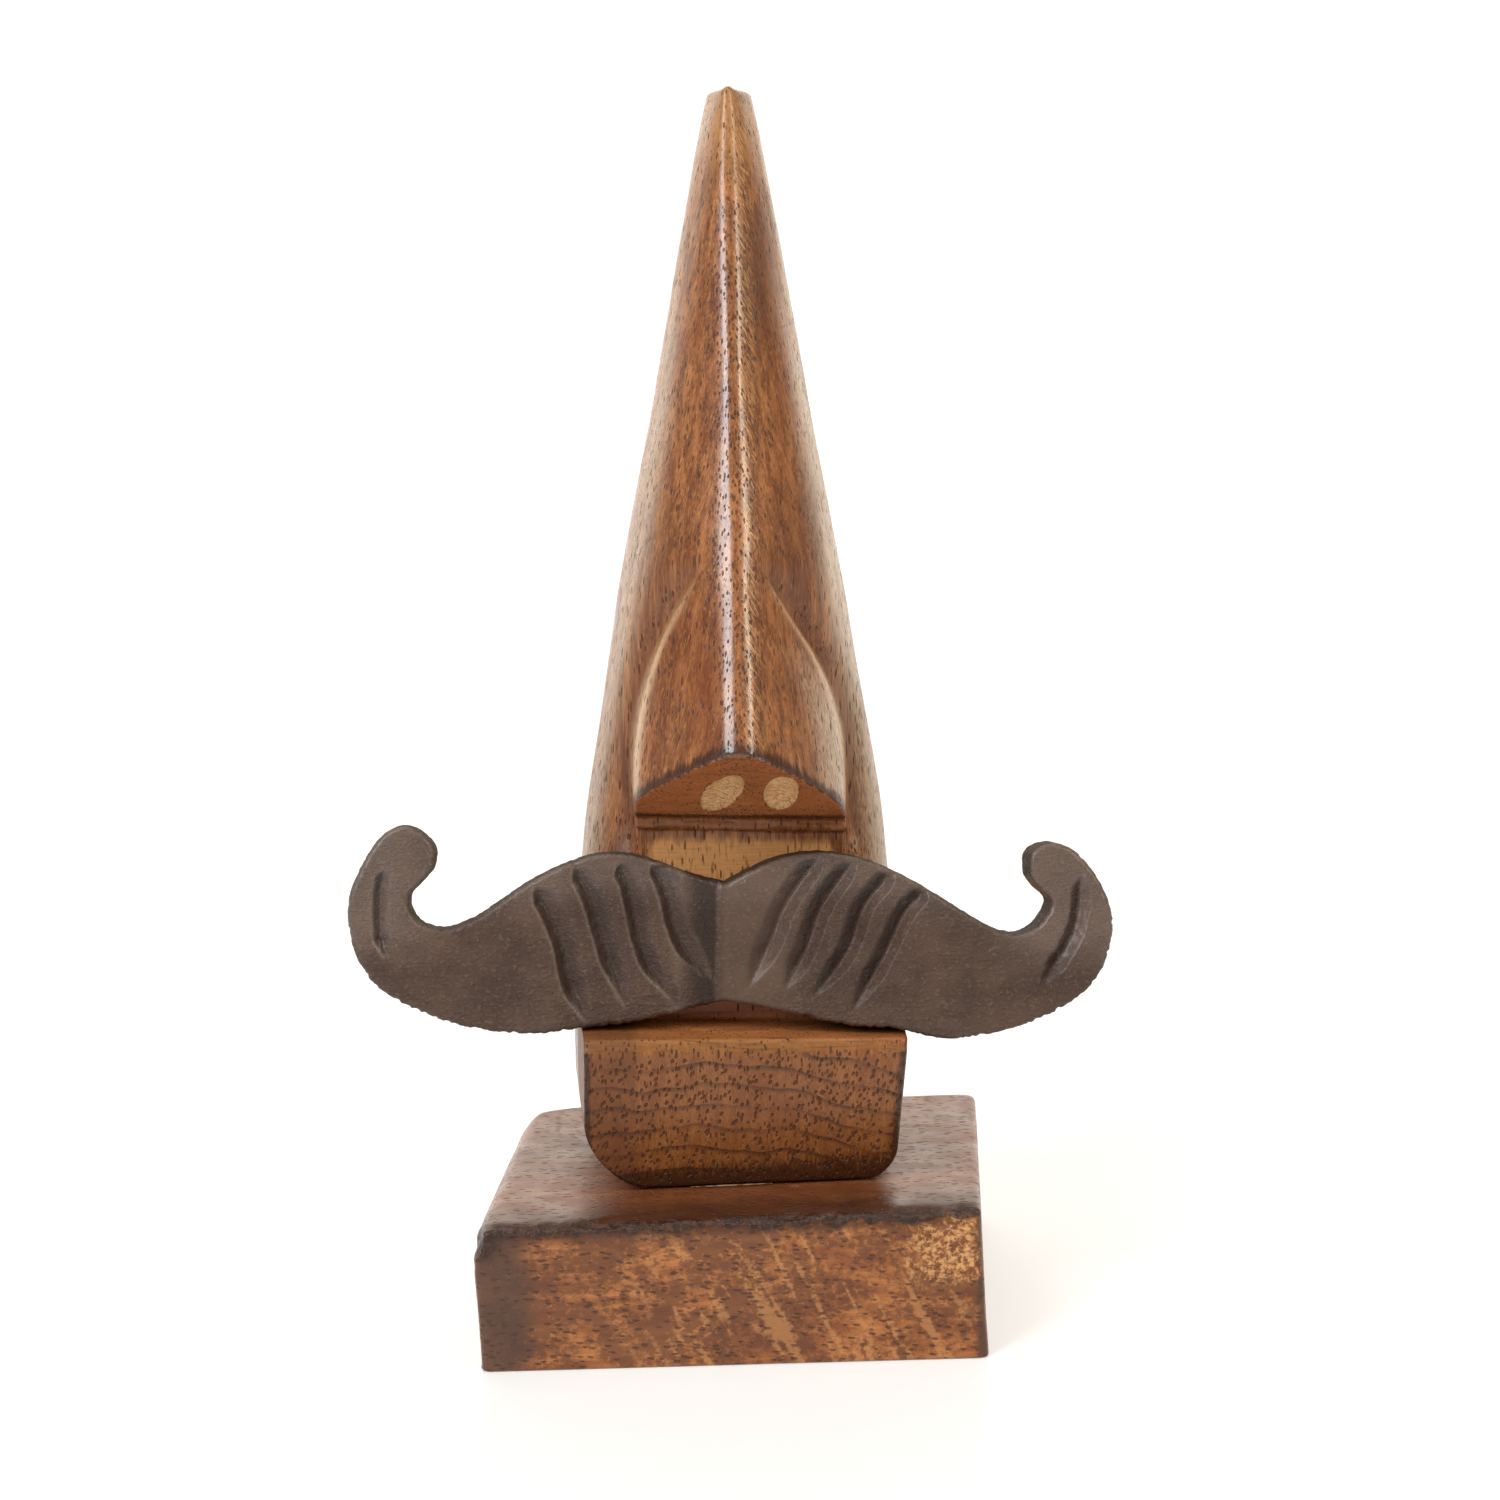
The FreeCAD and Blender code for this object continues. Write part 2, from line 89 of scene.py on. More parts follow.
# Ridge: Y at a height, and how far it runs forward for each step down.
RIDGE_SHIFT = -0.4
RIDGE_TOP = (5.0, 160.0)
RIDGE_SLOPE = 27.0 / 80.4

# Nostril face: Y and height of its rear edge, its slope, and its length factor.
NOSTRIL_REAR = (-6.3, 68.9)
NOSTRIL_SLOPE = (79.6 - 68.9) / (22.0 - 6.3)
NOSTRIL_STRETCH = math.hypot(1.0, NOSTRIL_SLOPE)
PIT_DEPTH = 1.25

# Bead under the nostrils, 1 mm in half height: middle and depth.
BEAD_HEIGHT = 67.55
BEAD_DEPTH = 1.5

# Chin: turned about Z, undercut from its brow down to its floor.
CHIN_TURN = math.tan(math.radians(4.0))
CHIN_FLOOR = 20.2
CHIN_SHIFT = 0.55
CHIN_HALF = 21.15
CHIN_BROW_Y = -18.0
CHIN_FOOT_Y = -12.8
CHIN_BROW_DROP = 1.7
CHIN_TAPER = 0.055
JAW_CENTRE = (-8.65, 31.34)
JAW_RADIUS = 12.0

# Height, half width, shoulder Y and how far the carved block's crest lies behind the ridge.
BLOCK = (
    (19.0, 22.3, -3.0, 28.9),
    (40.0, 22.3, -3.0, 21.8),
    (52.0, 21.5, -0.5, 19.5),
    (66.0, 20.3, 2.0, 17.1),
    (83.0, 17.5, 1.4, 8.5),
    (92.0, 16.0, 0.7, 4.1),
    (97.0, 15.2, 0.4, 1.9),
    (100.5, 14.55, 0.25, 0.75),
    (103.5, 14.0, 0.12, 0.04),
    (104.5, 13.8, 0.12, 0.0),
    (110.0, 12.75, 0.4, 0.0),
    (123.0, 10.2, 2.0, 0.0),
    (136.0, 7.9, 4.0, 0.0),
    (148.6, 5.65, 6.0, 0.0),
    (156.0, 4.25, 7.4, 0.0),
    (160.0, 3.45, 8.3, 0.0),
    (162.2, 2.95, 8.9, 0.1),
    (163.4, 2.65, 9.3, 0.2),
    (164.2, 2.3, 9.6, 0.4),
    (166.0, 1.7, 10.2, 0.9),
)

# Height and X of the left and right wing edges.
BULB = (
    (60.0, -13.2, 15.0),
    (67.0, -13.3, 15.0),
    (73.5, -13.7, 15.1),
    (79.0, -13.4, 14.7),
    (85.6, -12.2, 12.9),
    (91.0, -10.5, 10.2),
    (96.1, -8.2, 6.9),
    (100.0, -6.2, 4.6),
    (104.0, -4.2, 2.8),
    (112.0, -2.0, 1.2),
)

# Crest: the two ends of its narrow front flat, and the lean of the chamfer on each side.
CREST_FLAT = (-0.35, 0.4)
CREST_LEAN = (math.radians(24.0), math.radians(21.0))

# Growth rings: X and Y of the tree's heart, and ring spacing.
RING_CENTRE = (-29.0, 300.0)
RING_SPACING = 0.8

# Plain finishes: metallic, grain, span of the mix, two shades, roughness and relief.
PALE_WOOD = (0.0, (0.3, 5, 0.3), (0.35, 0.7), ((214, 178, 128), (176, 134, 86)), (0.5, 0.65), 0.06)
DRY_GLUE = (0.0, (0.8, 0.8, 0.8), (0.3, 0.7), ((96, 64, 44), (158, 130, 102)), (0.25, 0.45), 0.08)
ZINC = (1.0, (2.5, 2.5, 0.12), (0.3, 0.7), ((168, 166, 160), (204, 200, 188)), (0.22, 0.4), 0.03)

# Moustache board: outline of each half in half spans, and where it is glued to the lip.
HALF_SPAN = 50.0
BOARD_THICKNESS = 6.5
BOARD_SHIFT = -2.1
BOARD_LIFT = 0.1
GLUE_GAP = 0.2
RIGHT_HALF = (
    (0.0, 0.372), (0.153, 0.444), (0.242, 0.457), (0.33, 0.449), (0.498, 0.384),
    (0.651, 0.295), (0.731, 0.256), (0.79, 0.25), (0.835, 0.28), (0.86, 0.335),
    (0.803, 0.42), (0.808, 0.465), (0.86, 0.491), (0.98, 0.412), (1.033, 0.25),
    (0.998, 0.155), (0.86, 0.042), (0.691, -0.013), (0.56, -0.022), (0.46, 0.0),
    (0.36, 0.006), (0.163, 0.043), (0.0, 0.069),
)
LEFT_HALF = (
    (0.0, 0.069), (-0.178, 0.026), (-0.27, 0.006), (-0.36, -0.004), (-0.45, -0.018),
    (-0.56, -0.02), (-0.8, 0.036), (-0.94, 0.14), (-0.986, 0.308), (-0.957, 0.394),
    (-0.835, 0.508), (-0.757, 0.436), (-0.82, 0.33), (-0.815, 0.28), (-0.751, 0.243),
    (-0.666, 0.267), (-0.515, 0.368), (-0.435, 0.41), (-0.35, 0.44), (-0.261, 0.445),
    (-0.093, 0.395), (0.0, 0.372),
)

# Gouge cuts in the board: path from top to foot, width left and right of it, and depth.
GOUGES = (
    (((12.7, 22.4), (9.6, 18.4), (7.6, 15.0), (5.9, 10.5), (2.8, 4.5)), 2.3, 1.6, 0.95),
    (((17.2, 21.9), (14.4, 18.2), (12.5, 15.0), (10.4, 9.1), (7.4, 4.1)), 2.2, 1.4, 0.9),
    (((22.3, 20.3), (19.9, 17.8), (18.1, 15.1), (15.9, 9.1), (10.5, 2.6)), 2.1, 1.3, 0.9),
    (((26.8, 18.0), (24.8, 16.2), (23.3, 14.0), (20.4, 7.8), (16.1, 1.0)), 2.0, 1.3, 0.9),
    (((47.2, 21.0), (46.9, 15.5), (46.2, 12.4), (44.4, 9.1), (41.4, 4.9)), 1.6, 1.4, 0.8),
    (((-25.3, 17.9), (-23.1, 14.4), (-21.3, 10.1), (-20.2, 5.3), (-17.6, -0.4)), 1.5, 2.3, 0.8),
    (((-20.2, 20.7), (-18.3, 17.6), (-17.2, 14.9), (-15.5, 9.4), (-12.5, 1.4)), 1.5, 2.1, 0.75),
    (((-14.5, 21.1), (-13.0, 18.5), (-12.2, 15.6), (-10.4, 8.8), (-6.5, 2.9)), 1.4, 2.0, 0.75),
    (((-10.1, 21.0), (-8.5, 18.8), (-7.6, 16.4), (-6.0, 11.2), (-1.4, 4.9)), 1.3, 2.0, 0.7),
    (((-44.4, 20.0), (-45.0, 17.5), (-45.1, 15.2), (-44.9, 11.2), (-43.8, 7.5)), 1.2, 1.3, 0.55),
)

# Squeezed-out glue: its left end, right end and height.
GLUE_BEAD = (-6.5, 4.5, 20.12)

# Base corners at the foot and at the brow: front left, front right, back right, then the
# two ends of the rounded back left corner.
BASE_HEIGHT = 20.0
BROW_DROP = 1.2
BASE_FOOT = ((-34.2, -25.6), (32.0, -25.2), (38.95, 27.25), (-21.8, 24.6), (-28.9, 18.6))
BASE_BROW = ((-35.1, -27.3), (31.1, -23.3), (38.05, 27.3), (-22.7, 24.6), (-29.8, 18.6))


# ---- number helpers
def smooth_max(a, b, soft):
    """Larger of two fields, the edge between them rounded over a width."""
    gap = np.maximum(soft - np.abs(a - b), 0.0)
    return np.maximum(a, b) + gap * gap / (4.0 * soft)


def smooth_min(a, b, soft):
    """Smaller of two fields, the corner between them filled over a width."""
    return -smooth_max(-a, -b, soft)


def step_up(value, low, high):
    """0 below low, 1 above high, smooth between."""
    t = np.clip((value - low) / (high - low), 0.0, 1.0)
    return t * t * (3.0 - 2.0 * t)


def step_down(value, low, high):
    """1 below low, 0 above high, smooth between."""
    return 1.0 - step_up(value, low, high)


def between(value, low, full, fading, high):
    """0 outside low and high, 1 from full to fading, smooth between."""
    return step_up(value, low, full) * step_down(value, fading, high)


def bell(value, centre, width):
    """1 at the centre, falling to 0 on both sides."""
    return np.exp(-(((value - centre) / width) ** 2))


def curve(table, column, at):
    """Smooth curve through one column of a table whose first column is the position."""
    rows = np.array(table)
    xs, ys = rows[:, 0], rows[:, column]
    slopes = np.gradient(ys, xs)
    flat = np.clip(at, xs[0], xs[-1])
    i = np.clip(np.searchsorted(xs, flat) - 1, 0, len(xs) - 2)
    width = xs[i + 1] - xs[i]
    t = (flat - xs[i]) / width
    a = ys[i] * (1 + 2 * t) * (1 - t) ** 2 + ys[i + 1] * t * t * (3 - 2 * t)
    return a + width * (slopes[i] * t * (1 - t) ** 2 + slopes[i + 1] * t * t * (t - 1))


def noise(points, grain, seed):
    """Smooth noise from -1 to 1; grain is its size along each axis."""
    p = points / np.asarray(grain, float)
    cell = np.floor(p).astype(np.int64)
    t = p - cell
    t = t * t * (3.0 - 2.0 * t)
    values = np.random.default_rng(SEED + seed).random(4096) * 2.0 - 1.0
    total = np.zeros(len(p))
    for corner in range(8):
        pick = np.array([corner & 1, corner >> 1 & 1, corner >> 2])
        spot = cell + pick
        key = spot[:, 0] * 73856093 ^ spot[:, 1] * 19349663 ^ spot[:, 2] * 83492791
        weight = np.where(pick, t, 1.0 - t).prod(axis=1)
        total += weight * values[key & 4095]
    return total


# ---- meshes from fields
def skin(field, low, high, step):
    """Corners and faces of the surface where a field is nought; it is negative inside."""
    low = np.array(low, float)
    axes = [np.arange(a, b + step, step) for a, b in zip(low, high)]
    f = field(*np.meshgrid(*axes, indexing="ij"))
    inside = f < 0.0
    shape = f.shape
    count = np.zeros(f.size)
    total = np.zeros((3, f.size))
    crossings = []
    for axis in range(3):
        near = [slice(None)] * 3
        far = [slice(None)] * 3
        near[axis] = slice(0, -1)
        far[axis] = slice(1, None)
        index = np.argwhere(inside[tuple(near)] != inside[tuple(far)])
        ahead = index.copy()
        ahead[:, axis] += 1
        f0 = f[tuple(index.T)]
        f1 = f[tuple(ahead.T)]
        place = index.astype(float)
        place[:, axis] += f0 / (f0 - f1)
        u, v = [k for k in range(3) if k != axis]
        ring = []
        for du, dv in ((0, 0), (-1, 0), (-1, -1), (0, -1)):
            cell = index.copy()
            cell[:, u] += du
            cell[:, v] += dv
            flat = np.ravel_multi_index(cell.T, shape)
            ring.append(flat)
            count += np.bincount(flat, minlength=f.size)
            for k in range(3):
                total[k] += np.bincount(flat, weights=place[:, k], minlength=f.size)
        ring = np.array(ring).T
        turn = (f0 < 0) ^ (axis == 1)
        ring[~turn] = ring[~turn][:, ::-1]
        crossings.append(ring)
    used = np.flatnonzero(count)
    number = np.full(f.size, -1)
    number[used] = np.arange(len(used))
    points = (total[:, used] / count[used]).T * step + low
    faces = number[np.concatenate(crossings)]
    for _ in range(3):
        here = field(*points.T)
        slope = np.empty_like(points)
        for k in range(3):
            moved = points.copy()
            moved[:, k] += 0.02
            slope[:, k] = (field(*moved.T) - here) / 0.02
        size = np.maximum((slope**2).sum(axis=1), 0.05)
        shift = slope * (here / size)[:, None]
        length = np.linalg.norm(shift, axis=1, keepdims=True)
        points -= shift * np.minimum(1.0, 0.4 * step / np.maximum(length, 1e-9))
    return points, faces


def normals(points, faces):
    """Unit normal at each corner."""
    a, b, c, d = (points[faces[:, k]] for k in range(4))
    face = np.cross(c - a, d - b)
    total = np.zeros_like(points)
    for k in range(4):
        for axis in range(3):
            total[:, axis] += np.bincount(faces[:, k], face[:, axis], len(points))
    return total / np.maximum(np.linalg.norm(total, axis=1, keepdims=True), 1e-9)


def make_piece(name, points, faces, material, nodes, marks):
    """Smooth-shaded piece riding on the root, in place of CAD nodes, with marks per corner."""
    mesh = bpy.data.meshes.new(name)
    mesh.from_pydata((points * MM).tolist(), [], faces.tolist())
    mesh.update()
    mesh.polygons.foreach_set("use_smooth", [True] * len(mesh.polygons))
    for label, values in marks.items():
        layer = mesh.attributes.new(label, "FLOAT", "POINT")
        layer.data.foreach_set("value", np.clip(values, 0.0, 1.0).astype(np.float32))
    mesh.materials.append(material)
    piece = bpy.data.objects.new(name, mesh)
    bpy.context.scene.collection.objects.link(piece)
    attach(piece, "root")
    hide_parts(*nodes)


# ---- nose block
def ridge_y(z):
    """Y of the nose's crest."""
    return RIDGE_TOP[0] - (RIDGE_TOP[1] - z) * RIDGE_SLOPE


def face_field(x, y, side, crest, wing, root, bulge):
    """Field of one bulged face running back from the crest to a wing edge."""
    across = np.maximum(wing - 0.3, 0.4)
    along = np.maximum(root - crest, 0.4)
    chord = np.hypot(across, along)
    ux, uy = across / chord, along / chord
    px = side * (x - RIDGE_SHIFT)
    py = y - crest
    t = np.clip((px * ux + py * uy) / chord, 0.0, 1.0)
    out = px * uy - py * ux
    return out - chord**2 / (2.0 * bulge) * t * (1.0 - t)


def crest_facets(x, y, z):
    """Field of the crest's front flat and of the chamfer on each side of it."""
    u = x - RIDGE_SHIFT
    w = y - ridge_y(z)
    left = (CREST_FLAT[0] - u) * math.sin(CREST_LEAN[0]) - w * math.cos(CREST_LEAN[0])
    right = (u - CREST_FLAT[1]) * math.sin(CREST_LEAN[1]) - w * math.cos(CREST_LEAN[1])
    return smooth_max(smooth_max(left, right, 0.2), -w, 0.25)


def lip_y(zt):
    """Y of the leaning lip, with the bead and the quirk under the nostrils."""
    y = LIP_FOOT + (zt - LEDGE_HEIGHT) * LIP_SLOPE
    bead = np.clip(1.0 - (zt - BEAD_HEIGHT) ** 2, 0.0, 1.0)
    return y - BEAD_DEPTH * np.sqrt(bead) - 0.25 * step_up(zt, 64.5, 66.4) * (zt < 67.0)


def nostril_plane(y, zt):
    """Height of a point over the nostril face, square to it."""
    rise = zt - NOSTRIL_REAR[1] - NOSTRIL_SLOPE * (NOSTRIL_REAR[0] - y)
    return rise / NOSTRIL_STRETCH


def pit_depth(x, y):
    """Depth of the two nostril pits, gouged askew."""
    along = (NOSTRIL_REAR[0] - y) * NOSTRIL_STRETCH
    left = ((x + 2.1 - 0.21 * (along - 6.6)) / 2.5) ** 2 + ((along - 6.6) / 6.0) ** 2
    right = ((x - 5.6) / 2.25) ** 2 + ((along - 6.9) / 5.6) ** 2
    bowl = np.minimum(left, right)
    return PIT_DEPTH * np.clip(1.0 - bowl, 0.0, 1.0) ** 0.6


def chin_front(x, z):
    """Y of the chin's undercut face."""
    rise = (z + x * TILT - CHIN_FLOOR) / (LEDGE_HEIGHT - CHIN_BROW_DROP - CHIN_FLOOR)
    return CHIN_FOOT_Y + rise * (CHIN_BROW_Y - CHIN_FOOT_Y) + x * CHIN_TURN


def drift(z):
    """How far the carved block's middle stands to the right at each height."""
    return 0.3 + 0.4 * step_up(-z, -100.0, -70.0)


def nose_field(x, y, z):
    """Field of the nose block."""
    zt = z + x * TILT
    half = curve(BLOCK, 1, z)
    shoulder = curve(BLOCK, 2, z)
    low_part = step_up(-z, -104.0, -84.0)
    ridge = ridge_y(z) - 0.7 - 0.55 * low_part
    crest = ridge + curve(BLOCK, 3, z)
    bulge = 42.0 + 28.0 * low_part - 22.0 * step_up(z, 120.0, 155.0)
    block, bulb = (
        smooth_max(
            face_field(x, y, -1.0, top, half + RIDGE_SHIFT, shoulder, bulge),
            face_field(x, y, 1.0, top, half - RIDGE_SHIFT, shoulder, bulge),
            1.0,
        )
        for top in (crest, ridge)
    )
    # the bulb reaches from wing edge to wing edge
    bulb_left = curve(BULB, 1, z)
    bulb_right = curve(BULB, 2, z)
    low_wing = step_up(-z, -94.0, -80.0)
    bulb = smooth_max(bulb, bulb_left - x, 0.8 + 0.6 * low_wing)
    bulb = smooth_max(bulb, x - bulb_right, 0.8 + 1.3 * low_wing)
    bulb = np.maximum(bulb, np.maximum(60.0 - z, y - 4.0))
    # hollow carved in each cheek beside the wing
    beside = np.maximum(bulb_left - x, x - bulb_right)
    block = block + 1.1 * between(z, 58.0, 68.0, 94.0, 106.0) * bell(beside, 0.4, 1.9)
    flat_side = np.abs(x - drift(z)) - half - 0.4
    block = smooth_max(block, flat_side, np.minimum(5.0, 1.0 + 0.5 * half))
    body = smooth_min(block, bulb, 0.1 + 0.7 * step_up(-z, -104.0, -90.0))
    body = smooth_max(body, crest_facets(x, y, z), 0.3)
    summit = CROWN - 0.35 * step_up(np.abs(x - RIDGE_SHIFT - 0.3), 0.2, 0.9)
    body = smooth_max(body, z - summit, 0.45)
    # recess from the nostril face down to the ledge
    over = nostril_plane(y, zt)
    cut = np.maximum(y - lip_y(zt), LEDGE_HEIGHT - zt)
    cut = np.maximum(cut, over - np.where(over < 3.0, pit_depth(x, y), 0.0))
    body = smooth_max(body, -cut, 0.2)
    body = np.maximum(body, LEDGE_HEIGHT - 1.0 - zt)
    # chin under the ledge
    slid = 1.3 * np.clip((y - CHIN_BROW_Y) / 30.0, 0.0, 1.2)
    brow = 0.894 * (CHIN_BROW_Y + x * CHIN_TURN - y)
    brow += 0.447 * (zt - LEDGE_HEIGHT + CHIN_BROW_DROP)
    chin = smooth_max(chin_front(x, z) - y, brow, 0.4)
    inward = (CHIN_TAPER * np.clip(LEDGE_HEIGHT - z, 0.0, 30.0) - 0.5) * (x > 0)
    chin_side = np.abs(x - CHIN_SHIFT) - CHIN_HALF - slid + inward
    chin = smooth_max(chin, chin_side, 1.0)
    chin = smooth_max(chin, 0.72 * (x - 20.9) - 0.69 * (z - 22.0), 1.5)
    chin = smooth_max(chin, zt - LEDGE_HEIGHT, 0.5)
    jaw = np.hypot(x + slid - JAW_CENTRE[0], z - JAW_CENTRE[1]) - JAW_RADIUS
    jaw = np.minimum(jaw, ((x + slid + 13.1) * -12.3 + (z - CHIN_FLOOR) * -7.5) / 14.4)
    chin = smooth_max(chin, jaw, 0.25)
    body = smooth_min(body, chin, 0.5)
    body = smooth_max(body, CHIN_FLOOR - z, 0.4)
    # flat back with rounded corners
    side = np.where(zt < LEDGE_HEIGHT, chin_side, flat_side - 0.15)
    back = smooth_max(side, y - BLOCK_BACK, np.minimum(4.8, 0.9 * half))
    return smooth_max(body, back, 0.3)


def bulb_edge(x, z):
    """How near a point lies to the outer side of a wing's edge, from 0 to 1."""
    gap = np.maximum(curve(BULB, 1, z) - x, x - curve(BULB, 2, z))
    near = bell(np.maximum(gap, 0.3), 0.3, 2.2) * step_up(gap, -0.5, 0.4)
    return near * between(z, 60.0, 68.0, 92.0, 104.0)


def nose_regions(x, y, z, outward):
    """Parts of the carved nose: where each kind of cut lies."""
    zt = z + x * TILT
    over = nostril_plane(y, zt)
    above_ledge = zt - LEDGE_HEIGHT
    recess = (zt < 80.0) & (above_ledge > -0.4) & (over < 0.35) & (y < lip_y(zt) + 0.4)
    hollow = pit_depth(x, y)
    pit = (hollow > 0.0) * step_up(hollow, 0.05, 0.45) * (over > -0.2) * (over < hollow + 0.3)
    return {
        "recess": recess,
        "nostril": recess & (np.abs(over) < 1.6) & (y < NOSTRIL_REAR[0] + 0.3) & (zt > 68.3),
        "pit": pit * (zt < 80.0),
        "ledge": step_up(outward[:, 2], 0.7, 0.95) * (above_ledge < 0.6) * (z < 44.0),
        "lip": recess & (above_ledge > 0.3) & (zt < 66.6),
        "band": (outward[:, 2] > 0.2) & (above_ledge < 0.3) & (zt > 39.3) & (y < -16.2),
        "under": above_ledge < -1.6,
    }


def make_nose(material):
    """Nose block: carved field, then a carver's slight unevenness, with its marks."""
    points, faces = skin(nose_field, (-24.5, -24.5, 19.0), (25.0, 16.5, 165.5), NOSE_STEP)
    outward = normals(points, faces)
    x, y, z = points.T
    zt = z + x * TILT
    over = nostril_plane(y, zt)
    wing_left, wing_right = curve(BULB, 1, z), curve(BULB, 2, z)
    front = step_up(-outward[:, 1], 0.1, 0.4)
    seen = (over > 0.8) * (outward[:, 1] < 0.3)
    on_face = front * (over > 1.0)
    part = nose_regions(x, y, z, outward)
    recess, pit, ledge, lip = (part[key] for key in ("recess", "pit", "ledge", "lip"))
    fray = 66.5 + 0.7 * noise(points, (0.9, 2.0, 30.0), 6)
    bead = recess & (zt >= fray) & (zt <= 68.7)
    # scorched edges round the chin and over the nostrils; the darkening at the chin's foot is
    # partly scorch, partly painted shade; the dark line in the quirk under the nostrils is painted
    # shade
    edge = np.minimum(x + 20.6, 22.2 - CHIN_TAPER * (LEDGE_HEIGHT - z) - x)
    chin_burn_and_shade = np.maximum(step_down(edge, 0.0, 2.2), step_down(z, 20.2, 26.5 + 0.08 * x))
    chin_burn_and_shade = chin_burn_and_shade * front * part["under"]
    ragged = 0.5 * noise(points, (0.5, 0.5, 40.0), 5)
    fringe = step_down(over + ragged, 0.1, 2.8) * (over > -0.2) * (zt > 68.0) * (y < -6.0)
    fringe = fringe * (1.0 - np.clip(pit * 3.0, 0.0, 1.0)) * (outward[:, 2] > -0.5)
    quirk = recess * bell(zt, 68.7, 0.45) * (y > -7.4)
    # painted reflection: pale wing rims and pale flanks near the outline
    right_rim = step_up(x - wing_right, -6.0, -1.8) * step_up(wing_right - x, -0.6, 0.2)
    left_rim = step_up(wing_left - x, -1.4, -0.3) * step_up(x - wing_left, -0.6, 0.2)
    pale = between(z, 68.0, 74.0, 80.0, 95.0) * seen * (y > -18.0)
    pale = pale * np.maximum(right_rim, 0.5 * left_rim)
    rounding = curve(BLOCK, 1, z) + 0.4 - np.abs(x - drift(z))
    width = 4.2 - 2.7 * step_up(z, 112.0, 140.0)
    width += (x > 0) * (0.8 + 1.2 * step_up(-z, -120.0, -80.0))
    flank = step_down(rounding, 0.3, width) * step_down(y - curve(BLOCK, 2, z), 1.5, 5.0)
    flank = flank * between(z, 42.0, 52.0, 128.0, 152.0)
    flank = flank * ((over > 0.0) | (y > -5.0)) * np.where(x > 0, 1.0, 0.68)
    # painted highlight along the outer edge of each wing
    wing_edge_highlight = np.minimum(np.abs(x - wing_left - 0.3), np.abs(x - wing_right + 0.3))
    wing_edge_highlight = bell(wing_edge_highlight, 0.0, 0.4) * between(z, 66.0, 74.0, 96.0, 102.0)
    # darker clouds in the stain: strength, then X and height with their spread
    smoke = 0.9 * step_up(z, 161.0, 163.0) * step_up(np.abs(x - RIDGE_SHIFT), 0.8, 1.8)
    for strength, mid, wide, level, tall in (
        (1.3, 3.6, 2.2, 140.0, 9.0),
        (0.7, 8.0, 3.5, 103.0, 9.0),
        (0.5, -10.0, 3.0, 100.0, 8.0),
    ):
        smoke += strength * bell(x, mid, wide) * bell(z, level, tall)
    # painted shade in the hollows beside the wings
    wing_hollow_shade = bulb_edge(x, z) * (over > 0.2) * front
    uneven = 0.10 * noise(points, (7.0, 7.0, 18.0), 1) + 0.05 * noise(points, (2.5, 2.5, 9.0), 2)
    chatter = 0.05 * noise(points, (0.7, 3.0, 6.0), 3) * lip
    chatter += 0.10 * noise(points, (1.2, 1.2, 0.8), 4) * bead
    lift = (uneven - 0.07) * step_up(z, 20.4, 24.0) + chatter
    points += outward * (lift * step_down(z, 160.0, 164.0))[:, None]
    points[:, 2] = np.minimum(points[:, 2], CROWN)
    # painted shade beside the lip
    lip_side_shade = step_up(-x, 13.0, 14.5) * (z < 76.0) * (y < -1.0)
    raw = lip * step_down(np.abs(x - 0.9), 10.5, 14.2) * step_up(zt, 47.0, 52.0)
    # painted light: the ledge and the foot of the lip lightened against the board's shadow
    ledge_light = np.maximum(ledge, recess * step_down(zt, 47.0, 51.0))
    crest = front * (over > 0.0) * step_down(np.abs(x - RIDGE_SHIFT), 2.2, 4.2)
    marks = {
        "burn": np.maximum.reduce([fringe, chin_burn_and_shade, 0.9 * quirk]),
        # raw tan on the lip, fading out at its top as painted shade under the bead
        "raw": raw * (1.0 - 0.75 * step_up(zt, 63.5, 66.6)),
        "bead": bead * 1.0,
        "shade": np.maximum(wing_hollow_shade, lip_side_shade),
        "worn": step_up(z, 148.0, 161.0),
        "pit": pit,
        "cross": np.maximum.reduce([ledge, part["nostril"] * 1.0, recess * (zt < 50.0)]),
        "ledge_light": ledge_light * step_down(np.abs(x), 11.0, 17.0),
        "band": np.maximum(part["band"], 0.6 * ledge),
        "chin": part["under"] * front,
        "pale": pale,
        "smoke": smoke * on_face,
        "red": bell(x, -4.2, 2.8) * bell(z, 88.0, 12.0) * on_face,
        "crest": crest * (1.0 - 0.65 * step_up(z, 138.0, 156.0)),
        "flank": flank,
        "wing_edge_highlight": wing_edge_highlight * seen * (y > -19.0),
        # slanted grain right of the crest; its light strokes are a painted highlight
        "feather_and_highlight": front * bell(x, RIDGE_SHIFT + 1.9, 1.2) * (over > 0.3),
    }
    make_piece("carved_nose", points, faces, material, ["nose_block"], marks)


# ---- moustache board
def smooth_outline(points, parts=14):
    """Natural cubic spline through points, by chord length."""
    p = np.array(points) * HALF_SPAN
    t = np.concatenate([[0.0], np.cumsum(np.linalg.norm(np.diff(p, axis=0), axis=1))])
    n = len(t)
    h = np.diff(t)
    matrix = np.eye(n)
    right = np.zeros((n, 2))
    for i in range(1, n - 1):
        matrix[i, i - 1 : i + 2] = h[i - 1], 2 * (h[i - 1] + h[i]), h[i]
        right[i] = 6 * ((p[i + 1] - p[i]) / h[i] - (p[i] - p[i - 1]) / h[i - 1])
    bend = np.linalg.solve(matrix, right)
    out = []
    for i in range(n - 1):
        s = np.linspace(0.0, h[i], parts, endpoint=False)[:, None]
        slope = (p[i + 1] - p[i]) / h[i] - h[i] * (2 * bend[i] + bend[i + 1]) / 6
        twist = (bend[i + 1] - bend[i]) / (6 * h[i])
        out.append(p[i] + slope * s + bend[i] * s**2 / 2 + twist * s**3)
    return np.concatenate(out)


